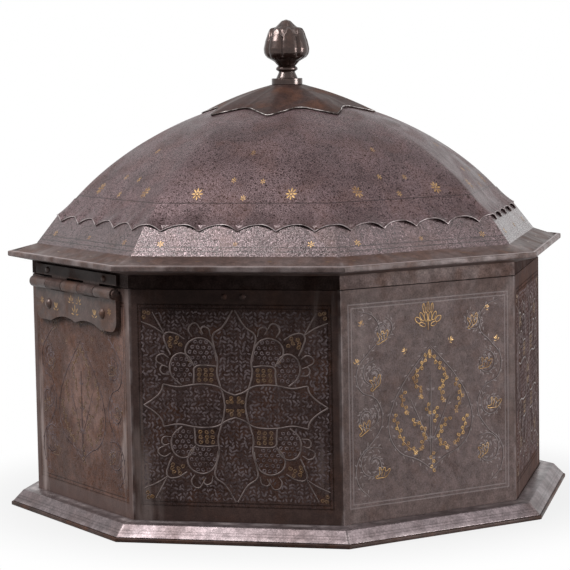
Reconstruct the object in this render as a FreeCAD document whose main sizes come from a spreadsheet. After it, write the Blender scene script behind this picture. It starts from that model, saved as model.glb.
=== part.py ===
"""Octagonal iron casket: plate walls on a splayed foot under a hinged domed lid with a lotus-bud finial.

Frame: +Z up, origin under the middle of the base plate, front wall facing -Y. Millimetres.
The hinge sits on the front-left wall, so its pieces are drawn on the front wall and turned about Z.
"""
import FreeCAD, Part
import math
import os
import re

import Sketcher

# Driving dimensions: alias, size, what it measures. Apothems run from the centre to a flat.
SIZES = [
    ("wall_apothem", 99.4, "outer face of the walls"),
    ("base_reach", 10.6, "edge of the base plate outside the walls"),
    ("base_thick", 1.6, "base plate"),
    ("wall_thick", 2.0, "wall plates"),
    ("parting_height", 96.0, "top of the walls above the table"),
    ("parting_gap", 0.3, "open line between walls and lid"),
    ("flange_thick", 1.4, "sheet of the splayed foot flange"),
    ("flange_inset", 0.5, "toe of the flange inside the edge of the base plate"),
    ("flange_top", 6.8, "height where the flange meets the walls"),
    ("flange_ledge", 0.7, "level edge of the flange along the walls"),
    ("flange_hip", 6.3, "height of the bend in the flange"),
    ("flange_hip_reach", 5.8, "bend in the flange outside the walls"),
    ("seat_gap", 0.1, "soldering gap between curved sheets"),
    ("rim_thick", 1.5, "locating rim inside the walls"),
    ("rim_depth", 8.0, "locating rim below the top of the walls"),
    ("rim_rise", 4.0, "locating rim above the top of the walls"),
    ("skirt_thick", 1.6, "upright skirt of the lid"),
    ("skirt_height", 5.2, "upright skirt of the lid"),
    ("cornice_reach", 9.2, "lip of the cornice outside the walls"),
    ("cornice_flare", 2.2, "rise of the underside from skirt to lip"),
    ("cornice_lip", 1.9, "upright face of the lip"),
    ("cornice_bead", 1.5, "width of the bead along the lip"),
    ("cornice_groove", 0.7, "depth of the groove inside the bead"),
    ("cornice_rise", 2.9, "rise of the top from lip to dome"),
    ("dome_inset", 4.7, "foot of the dome inside the face of the walls"),
    ("dome_rise", 57.5, "crown of the dome's curve above its foot"),
    ("dome_arc_offset", 1.7, "arc centre beyond the axis, which points the dome a little"),
    ("dome_thick", 1.6, "dome sheet"),
    ("dome_opening", 20.0, "opening at the crown, centre to flat"),
    ("band_foot_reach", 2.8, "band outside the dome at its foot"),
    ("band_top_reach", 1.5, "band outside the dome at its scallops"),
    ("band_height", 11.2, "scallop tops above the foot of the dome"),
    ("scallop_drop", 2.6, "scallop tops above the points between them"),
    ("cap_edge_apothem", 37.0, "tips of the crown petals"),
    ("cap_arc_radius", 150.0, "curve of the crown cap, outer face"),
    ("cap_arc_offset", 28.5, "arc centre of the cap beyond the axis"),
    ("cap_thick", 1.3, "crown cap sheet"),
    ("cap_flat", 6.8, "flat seat of the finial on the cap, centre to flat"),
    ("cap_notch_radius", 27.4, "depth of the notches between the petals, from the axis"),
    ("petal_half_width", 8.2, "crown petal"),
    ("petal_root", 28.0, "widest place of a petal, from the axis"),
    ("petal_arc_radius", 9.1, "rounded side of a petal"),
    ("plinth_radius", 6.4, "finial plinth"),
    ("plinth_height", 2.6, "finial plinth"),
    ("neck_foot_radius", 4.5, "finial neck at the plinth"),
    ("neck_radius", 3.3, "finial neck at its waist"),
    ("neck_height", 2.7, "finial neck"),
    ("collar_radius", 4.5, "ring under the bud"),
    ("collar_height", 2.4, "ring under the bud"),
    ("bud_foot_radius", 3.6, "lotus bud at the ring"),
    ("calyx_radius", 8.4, "edge of the hollow calyx under the bud"),
    ("calyx_height", 3.6, "edge of the calyx above the foot of the bud"),
    ("calyx_hollow", 8.0, "hollow curve of the calyx"),
    ("calyx_turn", 4.0, "rounding from the calyx to the petals"),
    ("bud_radius", 9.5, "lotus bud at its widest"),
    ("bud_belly", 7.2, "widest place of the bud above its foot"),
    ("bud_shoulder_radius", 6.6, "tips of the outer petals"),
    ("bud_shoulder", 15.0, "tips of the outer petals above the foot"),
    ("bud_height", 19.2, "lotus bud"),
    ("bud_flute", 0.8, "depth of the furrow between two petals"),
    ("flute_radius", 1.7, "hollow of this furrow"),
    ("tang_radius", 2.2, "tang of the finial"),
    ("tang_head_radius", 3.4, "riveted end of the tang"),
    ("tang_head", 1.4, "riveted end of the tang"),
    ("tang_spigot", 5.0, "tang inside the bud"),
    ("washer_radius", 6.2, "washer under the cap"),
    ("washer_thick", 1.2, "washer under the cap"),
    ("shank_gap", 0.05, "rivets, tang and hinge pin in their holes"),
    ("leaf_margin", 6.65, "ends of the hinge leaves inside the corners of the wall"),
    ("leaf_thick", 2.0, "lower hinge leaf"),
    ("leaf_drop", 12.8, "lower leaf below the hinge barrel"),
    ("leaf_tip", 11.9, "middle point of the lower leaf below the barrel"),
    ("leaf_corner", 4.5, "rounded lower corners of the leaf"),
    ("leaf_lobe", 13.5, "length of the lobe at each end"),
    ("leaf_arc_radius", 30.0, "hollow curves of the lower edge"),
    ("strap_thick", 1.6, "upper hinge leaf"),
    ("strap_margin", 0.5, "upper leaf inside the edges of the skirt"),
    ("barrel_radius", 2.3, "hinge barrel"),
    ("barrel_gap", 0.25, "barrel clear of skirt and wall"),
    ("knuckle_gap", 0.3, "between neighbouring knuckles"),
    ("pin_radius", 1.1, "hinge pin"),
    ("pin_head", 0.9, "riveted ends of the hinge pin"),
    ("leaf_rivet_inset", 11.5, "rivets of the lower leaf from its ends"),
    ("leaf_rivet_drop", 6.2, "rivets of the lower leaf below the barrel"),
    ("leaf_rivet_radius", 1.3, "rivets of the lower leaf"),
    ("leaf_rivet_head", 2.2, "heads of these rivets, radius"),
    ("strap_rivet_inset", 10.5, "rivets of the upper leaf from its ends"),
    ("strap_rivet_radius", 0.8, "rivets of the upper leaf"),
    ("strap_rivet_head", 1.4, "heads of these rivets, radius"),
    ("rim_rivet_spread", 3.6, "rivets of the locating rim from the middle of the front wall"),
    ("rim_rivet_drop", 2.6, "rivets of the locating rim below the top of the wall"),
    ("rim_rivet_radius", 0.8, "rivets of the locating rim"),
    ("rim_rivet_head", 1.3, "heads of these rivets, radius"),
    ("cut_overrun", 2.0, "how far every cut runs past what it cuts"),
]
SIDES = 8
SCALLOPS_PER_SIDE = 5
BODY_KNUCKLES = 3
LID_KNUCKLES = 2
BUD_PETALS = 8
SIDE_TURN = 360 / SIDES
HALF_TURN = SIDE_TURN / 2
HINGE_TURN = -SIDE_TURN
ARC_STEPS = 8
SIDE_NAMES = ["front", "front_right", "right", "back_right", "back", "back_left", "left", "front_left"]
HINGE_SIDE = SIDE_NAMES.index("front_left")
# Rivet heads rise by this share of their radius.
HEAD_RISE_SHARE = 0.6
# Height of the cap's curve is cut into these shares of its run, from the petal tips to the flat seat.
CAP_STEP_SHARES = [0.0, 0.25, 0.5, 0.75, 1.0]

doc = FreeCAD.newDocument("casket")
sheet = doc.addObject("Spreadsheet::Sheet", "Sizes")
for row, (alias, size, note) in enumerate(SIZES, start=1):
    sheet.set(f"A{row}", alias)
    sheet.set(f"B{row}", str(size))
    sheet.set(f"C{row}", note)
    sheet.setAlias(f"B{row}", alias)
doc.recompute()
ALIAS_PATTERN = re.compile(r"\b(" + "|".join(alias for alias, _, _ in SIZES) + r")\b")
Z_AXIS = FreeCAD.Vector(0, 0, 1)


def formula(text):
    """The expression with every alias looked up in the sheet."""
    return ALIAS_PATTERN.sub(r"Sizes.\1", str(text))


def number(text):
    """The size that an expression stands for now."""
    return float(sheet.evalExpression(formula(text)))


def bind(obj, **sizes):
    """Ties properties to expressions of the sheet; a double underscore stands for a dot."""
    for name, text in sizes.items():
        obj.setExpression(name.replace("__", "."), formula(text))


def turn(obj, degrees):
    """Turns an object about the casket's axis."""
    obj.Placement = FreeCAD.Placement(FreeCAD.Vector(), FreeCAD.Rotation(Z_AXIS, degrees))
    return obj


# Heights and places that several pieces share, written in the sheet's sizes.
FACE_TAN = f"tan({HALF_TURN})"
FACE_COS = f"cos({HALF_TURN})"
BASE_APOTHEM = "(wall_apothem + base_reach)"
WALL_INNER = "(wall_apothem - wall_thick)"
CORNICE_APOTHEM = "(wall_apothem + cornice_reach)"
SKIRT_FOOT = "(parting_height + parting_gap)"
CORNICE_FOOT = f"({SKIRT_FOOT} + skirt_height)"
LIP_FOOT = f"({CORNICE_FOOT} + cornice_flare)"
LIP_TOP = f"({LIP_FOOT} + cornice_lip)"
DOME_FOOT = f"({LIP_TOP} + cornice_rise)"
DOME_FOOT_APOTHEM = "(wall_apothem - dome_inset)"
DOME_ARC_REACH = f"({DOME_FOOT_APOTHEM} + dome_arc_offset)"
DOME_ARC_LIFT = f"((dome_rise^2 + dome_arc_offset^2 - {DOME_ARC_REACH}^2) / (2 * dome_rise))"
DOME_RADIUS = f"sqrt({DOME_ARC_REACH}^2 + {DOME_ARC_LIFT}^2)"
DOME_CENTRE = f"({DOME_FOOT} + {DOME_ARC_LIFT})"
CAP_EDGE_RISE = "sqrt(cap_arc_radius^2 - (cap_edge_apothem + cap_arc_offset)^2)"
CAP_DROP = f"(cap_thick * cap_arc_radius / {CAP_EDGE_RISE})"
CAP_SEAT = f"({DOME_CENTRE} + sqrt(({DOME_RADIUS})^2 - (cap_edge_apothem + dome_arc_offset)^2) + seat_gap)"
CAP_EDGE = f"({CAP_SEAT} + {CAP_DROP})"
CAP_CENTRE = f"({CAP_EDGE} - {CAP_EDGE_RISE})"
CAP_TOP = f"({CAP_CENTRE} + sqrt(cap_arc_radius^2 - (cap_flat + cap_arc_offset)^2))"
NECK_FOOT = f"({CAP_TOP} + plinth_height)"
COLLAR_FOOT = f"({NECK_FOOT} + neck_height)"
BUD_FOOT = f"({COLLAR_FOOT} + collar_height)"
LEAF_WIDTH = f"(2 * wall_apothem * {FACE_TAN} - 2 * leaf_margin)"
LEAF_END = f"({LEAF_WIDTH} / 2)"
LEAF_RIVET = f"({LEAF_END} - leaf_rivet_inset)"
STRAP_RIVET = f"({LEAF_END} - strap_rivet_inset)"
HINGE_REACH = "(wall_apothem + barrel_gap + barrel_radius)"
HINGE_HEIGHT = f"({SKIRT_FOOT} - barrel_gap - barrel_radius)"
BARREL_FOOT = f"({HINGE_HEIGHT} - barrel_radius)"
TANG_HOLE = "(tang_radius + shank_gap)"


def octagon(name, apothem, height):
    """A level octagon with its flats square to X and Y."""
    ring = doc.addObject("Part::RegularPolygon", name)
    ring.Polygon = SIDES
    turn(ring, HALF_TURN)
    bind(ring, Circumradius=f"({apothem}) / {FACE_COS}", Placement__Base__z=height)
    return ring


def octagon_solid(name, levels, ruled=True):
    """A closed octagonal solid through (apothem, height) levels."""
    loft = doc.addObject("Part::Loft", name)
    loft.Sections = [octagon(f"{name}_level_{i}", *level) for i, level in enumerate(levels)]
    loft.Solid = True
    loft.Ruled = ruled
    return loft


def cut(label, base, tool):
    """Base with the tool taken away."""
    result = doc.addObject("Part::Cut", label)
    result.Base = base
    result.Tool = tool
    return result


def join(label, pieces):
    """Several shapes as one."""
    result = doc.addObject("Part::MultiFuse", label)
    result.Shapes = pieces
    return result


def cylinder(name, radius, height, x="0", y="0", z="0", axis=Z_AXIS):
    """A round bar from a place along an axis."""
    bar = doc.addObject("Part::Cylinder", name)
    bar.Placement = FreeCAD.Placement(FreeCAD.Vector(), FreeCAD.Rotation(Z_AXIS, axis))
    bind(bar, Radius=radius, Height=height, Placement__Base__x=x, Placement__Base__y=y, Placement__Base__z=z)
    return bar


def block(name, corner, lengths):
    """A box from its lowest corner."""
    box = doc.addObject("Part::Box", name)
    for prop, text in zip(("Length", "Width", "Height"), lengths):
        bind(box, **{prop: text})
    for prop, text in zip("xyz", corner):
        bind(box, **{f"Placement__Base__{prop}": text})
    return box


def origin_part(body, role):
    """A plane or axis of a body's own origin."""
    return next(f for f in body.Origin.OriginFeatures if f.Role == role)


def arc_between(first, last, radius, left):
    """Centre and end angles of the smaller arc between two points, bulging left of the way or right of it."""
    way = last - first
    middle = (first + last) / 2
    square = FreeCAD.Vector(-way.y, way.x, 0).normalize()
    depth = math.sqrt(radius**2 - (way.Length / 2) ** 2)
    centre = middle - square * depth if left else middle + square * depth
    angles = [math.atan2(p.y - centre.y, p.x - centre.x) for p in (first, last)]
    return centre, angles


def outline(body, name, plane, corners, offset="0"):
    """A closed sketch through corners (x, y), each held by its two places.

    A third entry makes the side that leaves the corner an arc of that radius: ("left" or "right", radius).
    """
    sketch = body.newObject("Sketcher::SketchObject", name)
    sketch.AttachmentSupport = (origin_part(body, plane), [""])
    sketch.MapMode = "FlatFace"
    bind(sketch, AttachmentOffset__Base__z=offset)
    places = [FreeCAD.Vector(number(c[0]), number(c[1]), 0) for c in corners]
    starts, ends = [], []
    for i, corner in enumerate(corners):
        first, last = places[i], places[(i + 1) % len(places)]
        if len(corner) == 2:
            sketch.addGeometry(Part.LineSegment(first, last))
            starts.append(1)
            ends.append(2)
            continue
        side, radius = corner[2]
        centre, (start, end) = arc_between(first, last, number(radius), side == "left")
        circle = Part.Circle(centre, Z_AXIS, number(radius))
        if side == "left":
            start, end = end, start
        sketch.addGeometry(Part.ArcOfCircle(circle, start, end))
        starts.append(2 if side == "left" else 1)
        ends.append(1 if side == "left" else 2)
    for i, corner in enumerate(corners):
        following = (i + 1) % len(corners)
        sketch.addConstraint(Sketcher.Constraint("Coincident", i, ends[i], following, starts[following]))
    for i, corner in enumerate(corners):
        holds = (("DistanceX", places[i].x, corner[0]), ("DistanceY", places[i].y, corner[1]))
        for kind, place, text in holds:
            index = sketch.addConstraint(Sketcher.Constraint(kind, i, starts[i], place))
            sketch.setExpression(f"Constraints[{index}]", formula(text))
        if len(corner) == 3:
            radius = corner[2][1]
            index = sketch.addConstraint(Sketcher.Constraint("Radius", i, number(radius)))
            sketch.setExpression(f"Constraints[{index}]", formula(radius))
    return sketch


def pad(body, name, sketch, length):
    """A straight extrusion of a sketch along its normal."""
    feature = body.newObject("PartDesign::Pad", name)
    feature.Profile = sketch
    bind(feature, Length=length)
    return feature


def around(body, name, features, count):
    """Copies of a body's features spread evenly about its Z axis."""
    doc.recompute()
    pattern = body.newObject("PartDesign::PolarPattern", name)
    pattern.Originals = features
    pattern.Axis = (origin_part(body, "Z_Axis"), [""])
    pattern.Angle = 360
    pattern.Occurrences = count
    body.Tip = pattern
    return pattern


def turned(name, profile):
    """A body turned about its own Z axis from a profile of (radius, height) corners."""
    body = doc.addObject("PartDesign::Body", name)
    sketch = outline(body, f"{name}_profile", "XZ_Plane", profile)
    feature = body.newObject("PartDesign::Revolution", f"{name}_turning")
    feature.Profile = sketch
    feature.ReferenceAxis = (origin_part(body, "Z_Axis"), [""])
    feature.Angle = 360
    return body


def rivet(name, shank, head, grip, x, reach, height, inner_head=True):
    """A rivet through a front wall, its outer head seated at the given reach, its inner end headed or flush."""
    rise = f"({head}) * {HEAD_RISE_SHARE}"
    dome = f"(({head})^2 + ({rise})^2) / (2 * ({rise}))"
    inside = [("0", f"-({grip})")]
    if inner_head:
        inside = [("0", f"-({grip}) - {rise}", ("right", dome)), (head, f"-({grip})")]
    outside = [(head, "0", ("right", dome)), ("0", rise)]
    body = turned(name, [*inside, (shank, f"-({grip})"), (shank, "0"), *outside])
    body.Placement = FreeCAD.Placement(FreeCAD.Vector(), FreeCAD.Rotation(Z_AXIS, FreeCAD.Vector(0, -1, 0)))
    bind(body, Placement__Base__x=x, Placement__Base__y=f"-({reach})", Placement__Base__z=height)
    return body


def through_hole(name, radius, x, height):
    """A cutter square through the front wall and whatever lies on it."""
    depth = "leaf_thick + strap_thick + wall_thick + rim_thick + 2 * cut_overrun"
    start = "-(wall_apothem + leaf_thick + strap_thick + cut_overrun)"
    return cylinder(name, radius, depth, x, start, height, FreeCAD.Vector(0, 1, 0))


def hinge_set(name, piece):
    """Moves a piece drawn on the front wall round to the hinge wall."""
    holder = doc.addObject("Part::Compound", name)
    holder.Links = piece if isinstance(piece, list) else [piece]
    return turn(holder, HINGE_TURN)


# Base: an octagonal plate, and a splayed flange of sheet soldered on it round the foot of the walls.
base_plate = doc.addObject("Part::Prism", "base_plate")
base_plate.Polygon = SIDES
turn(base_plate, HALF_TURN)
bind(base_plate, Circumradius=f"{BASE_APOTHEM} / {FACE_COS}", Height="base_thick")

FLANGE_TOE = f"({BASE_APOTHEM} - flange_inset)"
FLANGE_HIP = "(wall_apothem + flange_hip_reach)"
base_flange = cut(
    "base_flange",
    octagon_solid("flange_outside", [
        (FLANGE_TOE, "base_thick"),
        (FLANGE_HIP, "flange_hip"),
        ("wall_apothem + flange_ledge", "flange_top"),
    ]),
    octagon_solid("flange_inside", [
        (f"{FLANGE_TOE} - flange_thick", "base_thick - cut_overrun"),
        (f"{FLANGE_TOE} - flange_thick", "base_thick"),
        (FLANGE_HIP + " - flange_thick / 2", "flange_hip - flange_thick"),
        ("wall_apothem", "flange_top - flange_thick"),
        ("wall_apothem", "flange_top + cut_overrun"),
    ]),
)

# Walls: eight mitred plates. The front one takes the rim's rivets, and the hinge wall those of the hinge.
rim_holes = join("rim_holes", [
    through_hole(f"rim_hole_{side}", "rim_rivet_radius + shank_gap", f"{sign} * rim_rivet_spread",
                 "parting_height - rim_rivet_drop")
    for side, sign in (("left", -1), ("right", 1))
])
leaf_holes = join("leaf_holes", [
    through_hole(f"leaf_hole_{side}", "leaf_rivet_radius + shank_gap", f"{sign} * {LEAF_RIVET}",
                 f"{BARREL_FOOT} - leaf_rivet_drop")
    for side, sign in (("left", -1), ("right", 1))
])


def wall_plate(name):
    """A wall plate in the front place, its ends mitred to its neighbours."""
    plate = doc.addObject("Part::Wedge", name)
    outer, inner = f"wall_apothem * {FACE_TAN}", f"{WALL_INNER} * {FACE_TAN}"
    bind(plate, Xmin=f"-{outer}", Xmax=outer, X2min=f"-{inner}", X2max=inner)
    bind(plate, Ymin="-wall_apothem", Ymax=f"-{WALL_INNER}")
    bind(plate, Zmin="base_thick", Zmax="parting_height", Z2min="base_thick", Z2max="parting_height")
    return plate


walls = []
for index, side in enumerate(SIDE_NAMES):
    label = f"wall_{side}"
    if side == "front":
        walls.append(cut(label, wall_plate("front_plate"), rim_holes))
    elif index == HINGE_SIDE:
        walls.append(cut(label, wall_plate("hinge_plate"), leaf_holes))
        turn(walls[-1], HINGE_TURN)
    else:
        walls.append(turn(wall_plate(label), index * SIDE_TURN))

# Locating rim: a strip inside the walls that stands up into the skirt of the lid.
rim_band = octagon_solid("rim_outside", [
    (WALL_INNER, "parting_height - rim_depth"), (WALL_INNER, "parting_height + rim_rise"),
])
rim_bore = octagon_solid("rim_inside", [
    (f"{WALL_INNER} - rim_thick", "parting_height - rim_depth - cut_overrun"),
    (f"{WALL_INNER} - rim_thick", "parting_height + rim_rise + cut_overrun"),
])
rim_room = join("rim_room", [rim_bore, rim_holes])
inner_rim = cut("inner_rim", rim_band, rim_room)
rim_rivets = doc.addObject("Part::Compound", "rim_rivets")
rim_rivets.Links = [
    rivet(f"rim_rivet_{side}", "rim_rivet_radius", "rim_rivet_head", "wall_thick + rim_thick",
          f"{sign} * rim_rivet_spread", "wall_apothem", "parting_height - rim_rivet_drop")
    for side, sign in (("left", -1), ("right", 1))
]

# Lid frame: an upright skirt, flush with the walls, under a flared cornice with a beaded lip.
strap_holes = join("strap_holes", [
    through_hole(f"strap_hole_{side}", "strap_rivet_radius + shank_gap", f"{sign} * {STRAP_RIVET}",
                 f"{SKIRT_FOOT} + skirt_height / 2")
    for side, sign in (("left", -1), ("right", 1))
])
skirt_band = octagon_solid("skirt_outside", [("wall_apothem", SKIRT_FOOT), ("wall_apothem", CORNICE_FOOT)])
skirt_bore = octagon_solid("skirt_inside", [
    ("wall_apothem - skirt_thick", f"{SKIRT_FOOT} - cut_overrun"),
    ("wall_apothem - skirt_thick", f"{CORNICE_FOOT} + cut_overrun"),
])
lid_skirt = cut("lid_skirt", cut("skirt_ring", skirt_band, skirt_bore), hinge_set("skirt_holes", strap_holes))

BEAD_INNER = f"({CORNICE_APOTHEM} - cornice_bead)"
cornice_band = octagon_solid("cornice_outside", [
    ("wall_apothem", CORNICE_FOOT),
    (CORNICE_APOTHEM, LIP_FOOT),
    (CORNICE_APOTHEM, LIP_TOP),
    (BEAD_INNER, f"{LIP_TOP} + cornice_groove / 2"),
    (f"{BEAD_INNER} - cornice_groove", f"{LIP_TOP} - cornice_groove / 2"),
    (f"{DOME_FOOT_APOTHEM} + band_foot_reach", DOME_FOOT),
])
CORNICE_BORE = f"({DOME_FOOT_APOTHEM} - 2 * dome_thick)"
SKIRT_INNER = "(wall_apothem - skirt_thick)"
cornice_hole = octagon_solid("cornice_inside", [
    (SKIRT_INNER, f"{CORNICE_FOOT} - cut_overrun"),
    (SKIRT_INNER, CORNICE_FOOT),
    (CORNICE_BORE, f"{DOME_FOOT} - dome_thick"),
    (CORNICE_BORE, f"{DOME_FOOT} + cut_overrun"),
])
cornice = cut("cornice", cornice_band, cornice_hole)


def dome_levels(inset, foot, crown):
    """Levels of the dome's curve, moved in by inset, from the foot's apothem to the crown's."""
    radius = f"({DOME_RADIUS} - ({inset}))"
    low = f"acos(({foot} + dome_arc_offset) / {radius})"
    high = f"acos(({crown} + dome_arc_offset) / {radius})"
    levels = []
    for i in range(ARC_STEPS + 1):
        angle = f"({low} + ({high} - {low}) * {i} / {ARC_STEPS})"
        reach = f"{radius} * cos({angle}) - dome_arc_offset"
        levels.append((reach, f"{DOME_CENTRE} + {radius} * sin({angle})"))
    return levels


def dome_reach(inset, height):
    """Apothem of the dome's curve, moved in by inset, at a height above its foot."""
    drop = f"({DOME_FOOT} + ({height}) - {DOME_CENTRE})"
    return f"(sqrt(({DOME_RADIUS} - ({inset}))^2 - {drop}^2) - dome_arc_offset)"


# Dome: eight curved gores raised in one sheet, open at the crown under the cap.
dome_sheet = octagon_solid("dome_outside", dome_levels("0", DOME_FOOT_APOTHEM, "dome_opening"), ruled=False)
dome_hollow = octagon_solid(
    "dome_inside", dome_levels("dome_thick", dome_reach("dome_thick", "0"), "dome_opening"), ruled=False)
dome_crown_cut = octagon_solid("dome_crown_cut", [
    ("dome_opening", f"{DOME_FOOT} + band_height"), ("dome_opening", f"{CAP_TOP} + cut_overrun"),
])
dome_shell = cut("dome_shell", dome_sheet, join("dome_room", [dome_hollow, dome_crown_cut]))

# Scalloped band: a straight-sided sheet round the foot of the dome, its top cut in rounded lobes.
band_sheet = octagon_solid("band_outside", [
    (f"{DOME_FOOT_APOTHEM} + band_foot_reach", DOME_FOOT),
    (f"{dome_reach('0', 'band_height')} + band_top_reach", f"{DOME_FOOT} + band_height"),
])
BAND_STEPS = 4
band_hollow = octagon_solid("band_inside", [
    (dome_reach("-seat_gap", f"-cut_overrun + (band_height + 2 * cut_overrun) * {i} / {BAND_STEPS}"),
     f"{DOME_FOOT} - cut_overrun + (band_height + 2 * cut_overrun) * {i} / {BAND_STEPS}")
    for i in range(BAND_STEPS + 1)
], ruled=False)
band_ring = cut("band_ring", band_sheet, band_hollow)

LOBE_HALF = f"({dome_reach('0', 'band_height')} + band_top_reach) * {FACE_TAN}"
LOBE_PITCH = f"({LOBE_HALF} * 2 / {SCALLOPS_PER_SIDE})"
LOBE_RADIUS = f"(({LOBE_PITCH} / 2)^2 + scallop_drop^2) / (2 * scallop_drop)"
LOBE_TOP = f"{DOME_FOOT} + band_height"
LOBE_POINT = f"{LOBE_TOP} - scallop_drop"
cutter_corners = [(f"-{LOBE_HALF}", LOBE_TOP, ("left", LOBE_RADIUS))]
for i in range(SCALLOPS_PER_SIDE):
    place = f"-{LOBE_HALF} + {LOBE_PITCH} * ({i} + 1 / 2)"
    cutter_corners.append((place, LOBE_POINT, ("left", LOBE_RADIUS)))
cutter_corners.append((LOBE_HALF, LOBE_TOP))
cutter_corners.append((LOBE_HALF, f"{LOBE_TOP} + cut_overrun"))
cutter_corners.append((f"-{LOBE_HALF}", f"{LOBE_TOP} + cut_overrun"))
scallop_cutter = doc.addObject("PartDesign::Body", "scallop_cutter")
scallop_start = f"({dome_reach('dome_thick', 'band_height')} - cut_overrun)"
scallop_sketch = outline(scallop_cutter, "scallop_outline", "XZ_Plane", cutter_corners, scallop_start)
scallop_pad = pad(scallop_cutter, "scallop_pad", scallop_sketch,
                  f"{DOME_FOOT_APOTHEM} + band_foot_reach + cut_overrun - {scallop_start}")
around(scallop_cutter, "scallop_ring", [scallop_pad], SIDES)
dome_band = cut("dome_band", band_ring, scallop_cutter)

# Crown cap: a shallow sheet over the opening of the dome, its edge cut in pointed petals.


def cap_levels(lift):
    """Levels of the cap's curve, dropped by lift, from the petal tips to the flat seat."""
    levels = []
    for share in CAP_STEP_SHARES:
        reach = f"(cap_edge_apothem + (cap_flat - cap_edge_apothem) * {share})"
        height = f"{CAP_CENTRE} + sqrt(cap_arc_radius^2 - ({reach} + cap_arc_offset)^2) - ({lift})"
        levels.append((reach, height))
    return levels


cap_sheet = octagon_solid("cap_outside", [
    ("cap_edge_apothem", CAP_SEAT), *cap_levels("0"),
])
cap_hollow_levels = cap_levels(CAP_DROP)
cap_hollow = octagon_solid("cap_inside", [
    ("cap_edge_apothem", f"{CAP_SEAT} - cut_overrun"), *cap_hollow_levels,
])
tang_hole = cylinder("tang_hole", TANG_HOLE, "cap_thick + washer_thick + 2 * cut_overrun",
                     z=f"{CAP_TOP} - {CAP_DROP} - washer_thick - cut_overrun")
cap_blank = cut("cap_blank", cap_sheet, join("cap_room", [cap_hollow, tang_hole]))
petal_keeper = doc.addObject("PartDesign::Body", "petal_keeper")
petal_sketch = outline(petal_keeper, "petal_outline", "XY_Plane", [
    ("petal_half_width", "-petal_root"),
    ("petal_half_width", "-cap_flat"),
    ("-petal_half_width", "-cap_flat"),
    ("-petal_half_width", "-petal_root", ("right", "petal_arc_radius")),
    ("0", "-cap_edge_apothem", ("right", "petal_arc_radius")),
], f"{CAP_SEAT} - cut_overrun")
petal_pad = pad(petal_keeper, "petal_pad", petal_sketch, f"{CAP_TOP} - {CAP_SEAT} + 2 * cut_overrun")
around(petal_keeper, "petal_ring", [petal_pad], SIDES)
heart = cylinder("petal_heart", "cap_notch_radius", f"{CAP_TOP} - {CAP_SEAT} + 2 * cut_overrun",
                 z=f"{CAP_SEAT} - cut_overrun")
crown_cap = doc.addObject("Part::Common", "crown_cap")
crown_cap.Base = cap_blank
crown_cap.Tool = join("petal_shape", [petal_keeper, heart])

# Finial: a plinth, a necked stem whose tang is riveted over a washer inside, and a lotus bud.
finial_plinth = cut(
    "finial_plinth",
    cylinder("plinth_disc", "plinth_radius", "plinth_height", z=CAP_TOP),
    cylinder("plinth_hole", TANG_HOLE, "plinth_height + 2 * cut_overrun", z=f"{CAP_TOP} - cut_overrun"),
)
WASHER_TOP = f"({CAP_TOP} - {CAP_DROP})"
finial_washer = cut(
    "finial_washer",
    cylinder("washer_disc", "washer_radius", "washer_thick", z=f"{WASHER_TOP} - washer_thick"),
    cylinder("washer_hole", TANG_HOLE, "washer_thick + 2 * cut_overrun",
             z=f"{WASHER_TOP} - washer_thick - cut_overrun"),
)
TANG_END = f"({WASHER_TOP} - washer_thick)"
finial_stem = turned("finial_stem", [
    ("0", f"{TANG_END} - tang_head"),
    ("tang_head_radius", f"{TANG_END} - tang_head / 2"),
    ("tang_head_radius", TANG_END),
    ("tang_radius", TANG_END),
    ("tang_radius", NECK_FOOT),
    ("neck_foot_radius", NECK_FOOT),
    ("neck_radius", COLLAR_FOOT),
    ("collar_radius", f"{COLLAR_FOOT} + collar_height / 3"),
    ("collar_radius", f"{BUD_FOOT} - collar_height / 3"),
    ("bud_foot_radius", BUD_FOOT),
    ("tang_radius", BUD_FOOT),
    ("tang_radius", f"{BUD_FOOT} + tang_spigot"),
    ("0", f"{BUD_FOOT} + tang_spigot"),
])
bud_solid = turned("bud_solid", [
    (TANG_HOLE, BUD_FOOT),
    ("bud_foot_radius", BUD_FOOT, ("left", "calyx_hollow")),
    ("calyx_radius", f"{BUD_FOOT} + calyx_height", ("right", "calyx_turn")),
    ("bud_radius", f"{BUD_FOOT} + bud_belly", ("right", "2 * bud_radius")),
    ("bud_shoulder_radius", f"{BUD_FOOT} + bud_shoulder", ("right", "bud_radius")),
    ("0", f"{BUD_FOOT} + bud_height"),
    ("0", f"{BUD_FOOT} + tang_spigot + shank_gap"),
    (TANG_HOLE, f"{BUD_FOOT} + tang_spigot + shank_gap"),
])
LEAN_TAN = "((bud_radius - bud_shoulder_radius) / (bud_shoulder - bud_belly))"
LEAN = FreeCAD.Rotation(FreeCAD.Vector(0, 1, 0), -number(f"atan({LEAN_TAN})"))
FLUTE_REACH = f"(bud_radius + flute_radius - bud_flute + {LEAN_TAN} * bud_belly / 2)"
flutes = []
for i in range(BUD_PETALS):
    angle = (i + 0.5) * 360 / BUD_PETALS
    flute = cylinder(f"bud_flute_{i}", "flute_radius", "bud_height", f"{FLUTE_REACH} * cos({angle})",
                     f"{FLUTE_REACH} * sin({angle})", f"{BUD_FOOT} + bud_belly / 2")
    flute.Placement.Rotation = FreeCAD.Rotation(Z_AXIS, angle).multiply(LEAN)
    flutes.append(flute)
finial_bud = cut("finial_bud", bud_solid, join("bud_flutes", flutes))

# Hinge: the lower leaf on the wall and the upper leaf on the skirt share a barrel of five knuckles.
KNUCKLES = BODY_KNUCKLES + LID_KNUCKLES
KNUCKLE = f"({LEAF_WIDTH} / {KNUCKLES})"


def knuckle_start(place, gap):
    """Left end of a knuckle, counted from the left of the leaf, with a gap on its left."""
    return f"-{LEAF_END} + {place} * {KNUCKLE} + {gap}"


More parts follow.
